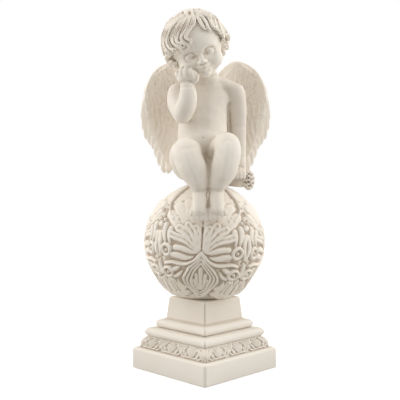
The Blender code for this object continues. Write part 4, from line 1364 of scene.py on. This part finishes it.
def studio():
    """White to the camera; as light, bright from both sides and dimmer from the front, the back and above."""
    scene = bpy.context.scene
    scene.view_settings.view_transform = "Standard"
    world = bpy.data.worlds.new("studio")
    scene.world = world
    world.use_nodes = True
    tree = world.node_tree
    glow = tree.nodes["Background"]
    glow.inputs["Color"].default_value = (1, 0.985, 0.965, 1)
    place = added(tree, "ShaderNodeTexCoord").outputs["Generated"]
    parts = added(tree, "ShaderNodeSeparateXYZ", {"Vector": place}).outputs
    value = added(tree, "ShaderNodeMath", {0: parts["Y"], 1: 2}, operation="POWER").outputs["Value"]
    value = added(tree, "ShaderNodeMath", {0: 1, 1: value}, operation="SUBTRACT").outputs["Value"]
    value = added(tree, "ShaderNodeMath", {0: value, 1: 3.0}, operation="POWER").outputs["Value"]
    sides = added(tree, "ShaderNodeMapRange", {"To Min": DIM_LIGHT, "To Max": SIDE_LIGHT, "Value": value})
    above = {"From Min": 0.1, "To Min": 1.0, "To Max": DIM_LIGHT, "Value": parts["Z"]}
    above = added(tree, "ShaderNodeMapRange", above)
    both = {0: sides.outputs["Result"], 1: above.outputs["Result"]}
    both = added(tree, "ShaderNodeMath", both, operation="MULTIPLY")
    tree.links.new(both.outputs["Value"], glow.inputs["Strength"])
    white = added(tree, "ShaderNodeBackground", {"Color": (1, 1, 1, 1), "Strength": 1.0})
    seen = added(tree, "ShaderNodeLightPath").outputs["Is Camera Ray"]
    mix = {"Fac": seen, 1: glow.outputs["Background"], 2: white.outputs["Background"]}
    mix = added(tree, "ShaderNodeMixShader", mix)
    tree.links.new(mix.outputs["Shader"], tree.nodes["World Output"].inputs["Surface"])

    for x in (-SOFTBOX_OUT, SOFTBOX_OUT):
        light = bpy.data.lights.new("softbox", "AREA")
        light.energy = SOFTBOX_POWER
        light.size = SOFTBOX_SIZE
        box = bpy.data.objects.new("softbox", light)
        scene.collection.objects.link(box)
        box.location = (x, 0.2, 0.6)
        box.rotation_euler = (Vector((0, 0, 0.3)) - box.location).to_track_quat("-Z", "Y").to_euler()


def floor():
    bm = bmesh.new()
    bmesh.ops.create_grid(bm, x_segments=2, y_segments=2, size=6)
    obj = new_object("floor", mesh_from(bm, "floor"))
    material = bpy.data.materials.new("pale_floor")
    material.use_nodes = True
    tree = material.node_tree
    shader = tree.nodes["Principled BSDF"]
    shader.inputs["Base Color"].default_value = FLOOR_TONE
    shader.inputs["Roughness"].default_value = 0.9
    shader.inputs["Emission Color"].default_value = (1, 1, 1, 1)
    seen = added(tree, "ShaderNodeLightPath").outputs["Is Camera Ray"]
    lift = added(tree, "ShaderNodeMath", {0: seen, 1: FLOOR_GLOW}, operation="MULTIPLY")
    tree.links.new(lift.outputs["Value"], shader.inputs["Emission Strength"])
    obj.data.materials.append(material)


def camera():
    """The photograph's view: nearly level, a little below the cherub's lap."""
    data = bpy.data.cameras.new("camera")
    data.sensor_width = 36
    data.lens = CAMERA_LENS
    obj = bpy.data.objects.new("camera", data)
    bpy.context.scene.collection.objects.link(obj)
    obj.location = CAMERA_PLACE
    obj.rotation_euler = (math.radians(90 - CAMERA_DIP), 0, 0)
    bpy.context.scene.camera = obj


def main():
    # Copies of one stone: the first number sets the painted shade in the hollows, the second paints the piece
    # lighter or darker to make up for the shade on it
    plain = stone("plain_stone", 0.55, 0.98)
    winged = stone("wing_stone", 0.5, 1.16)
    carved = stone("carved_stone", 0.85, 1.07)
    smooth = stone("head_stone", 0.7, 1.05)
    finish_piece(cherub_body(), plain, "cherub_on_globe", 0.0014)
    finish_piece(cherub_head(), smooth, "cherub_on_globe", 0.0010)
    finish_piece(wing(-1, "wing_left"), winged, "cherub_on_globe", 0.0020)
    finish_piece(wing(1, "wing_right"), winged, "cherub_on_globe", 0.0020)
    finish_piece(globe(), carved, "cherub_on_globe", 0.0007)
    finish_piece(plinth(), plain, "plinth", 0.0012)
    studio()
    floor()
    camera()


main()
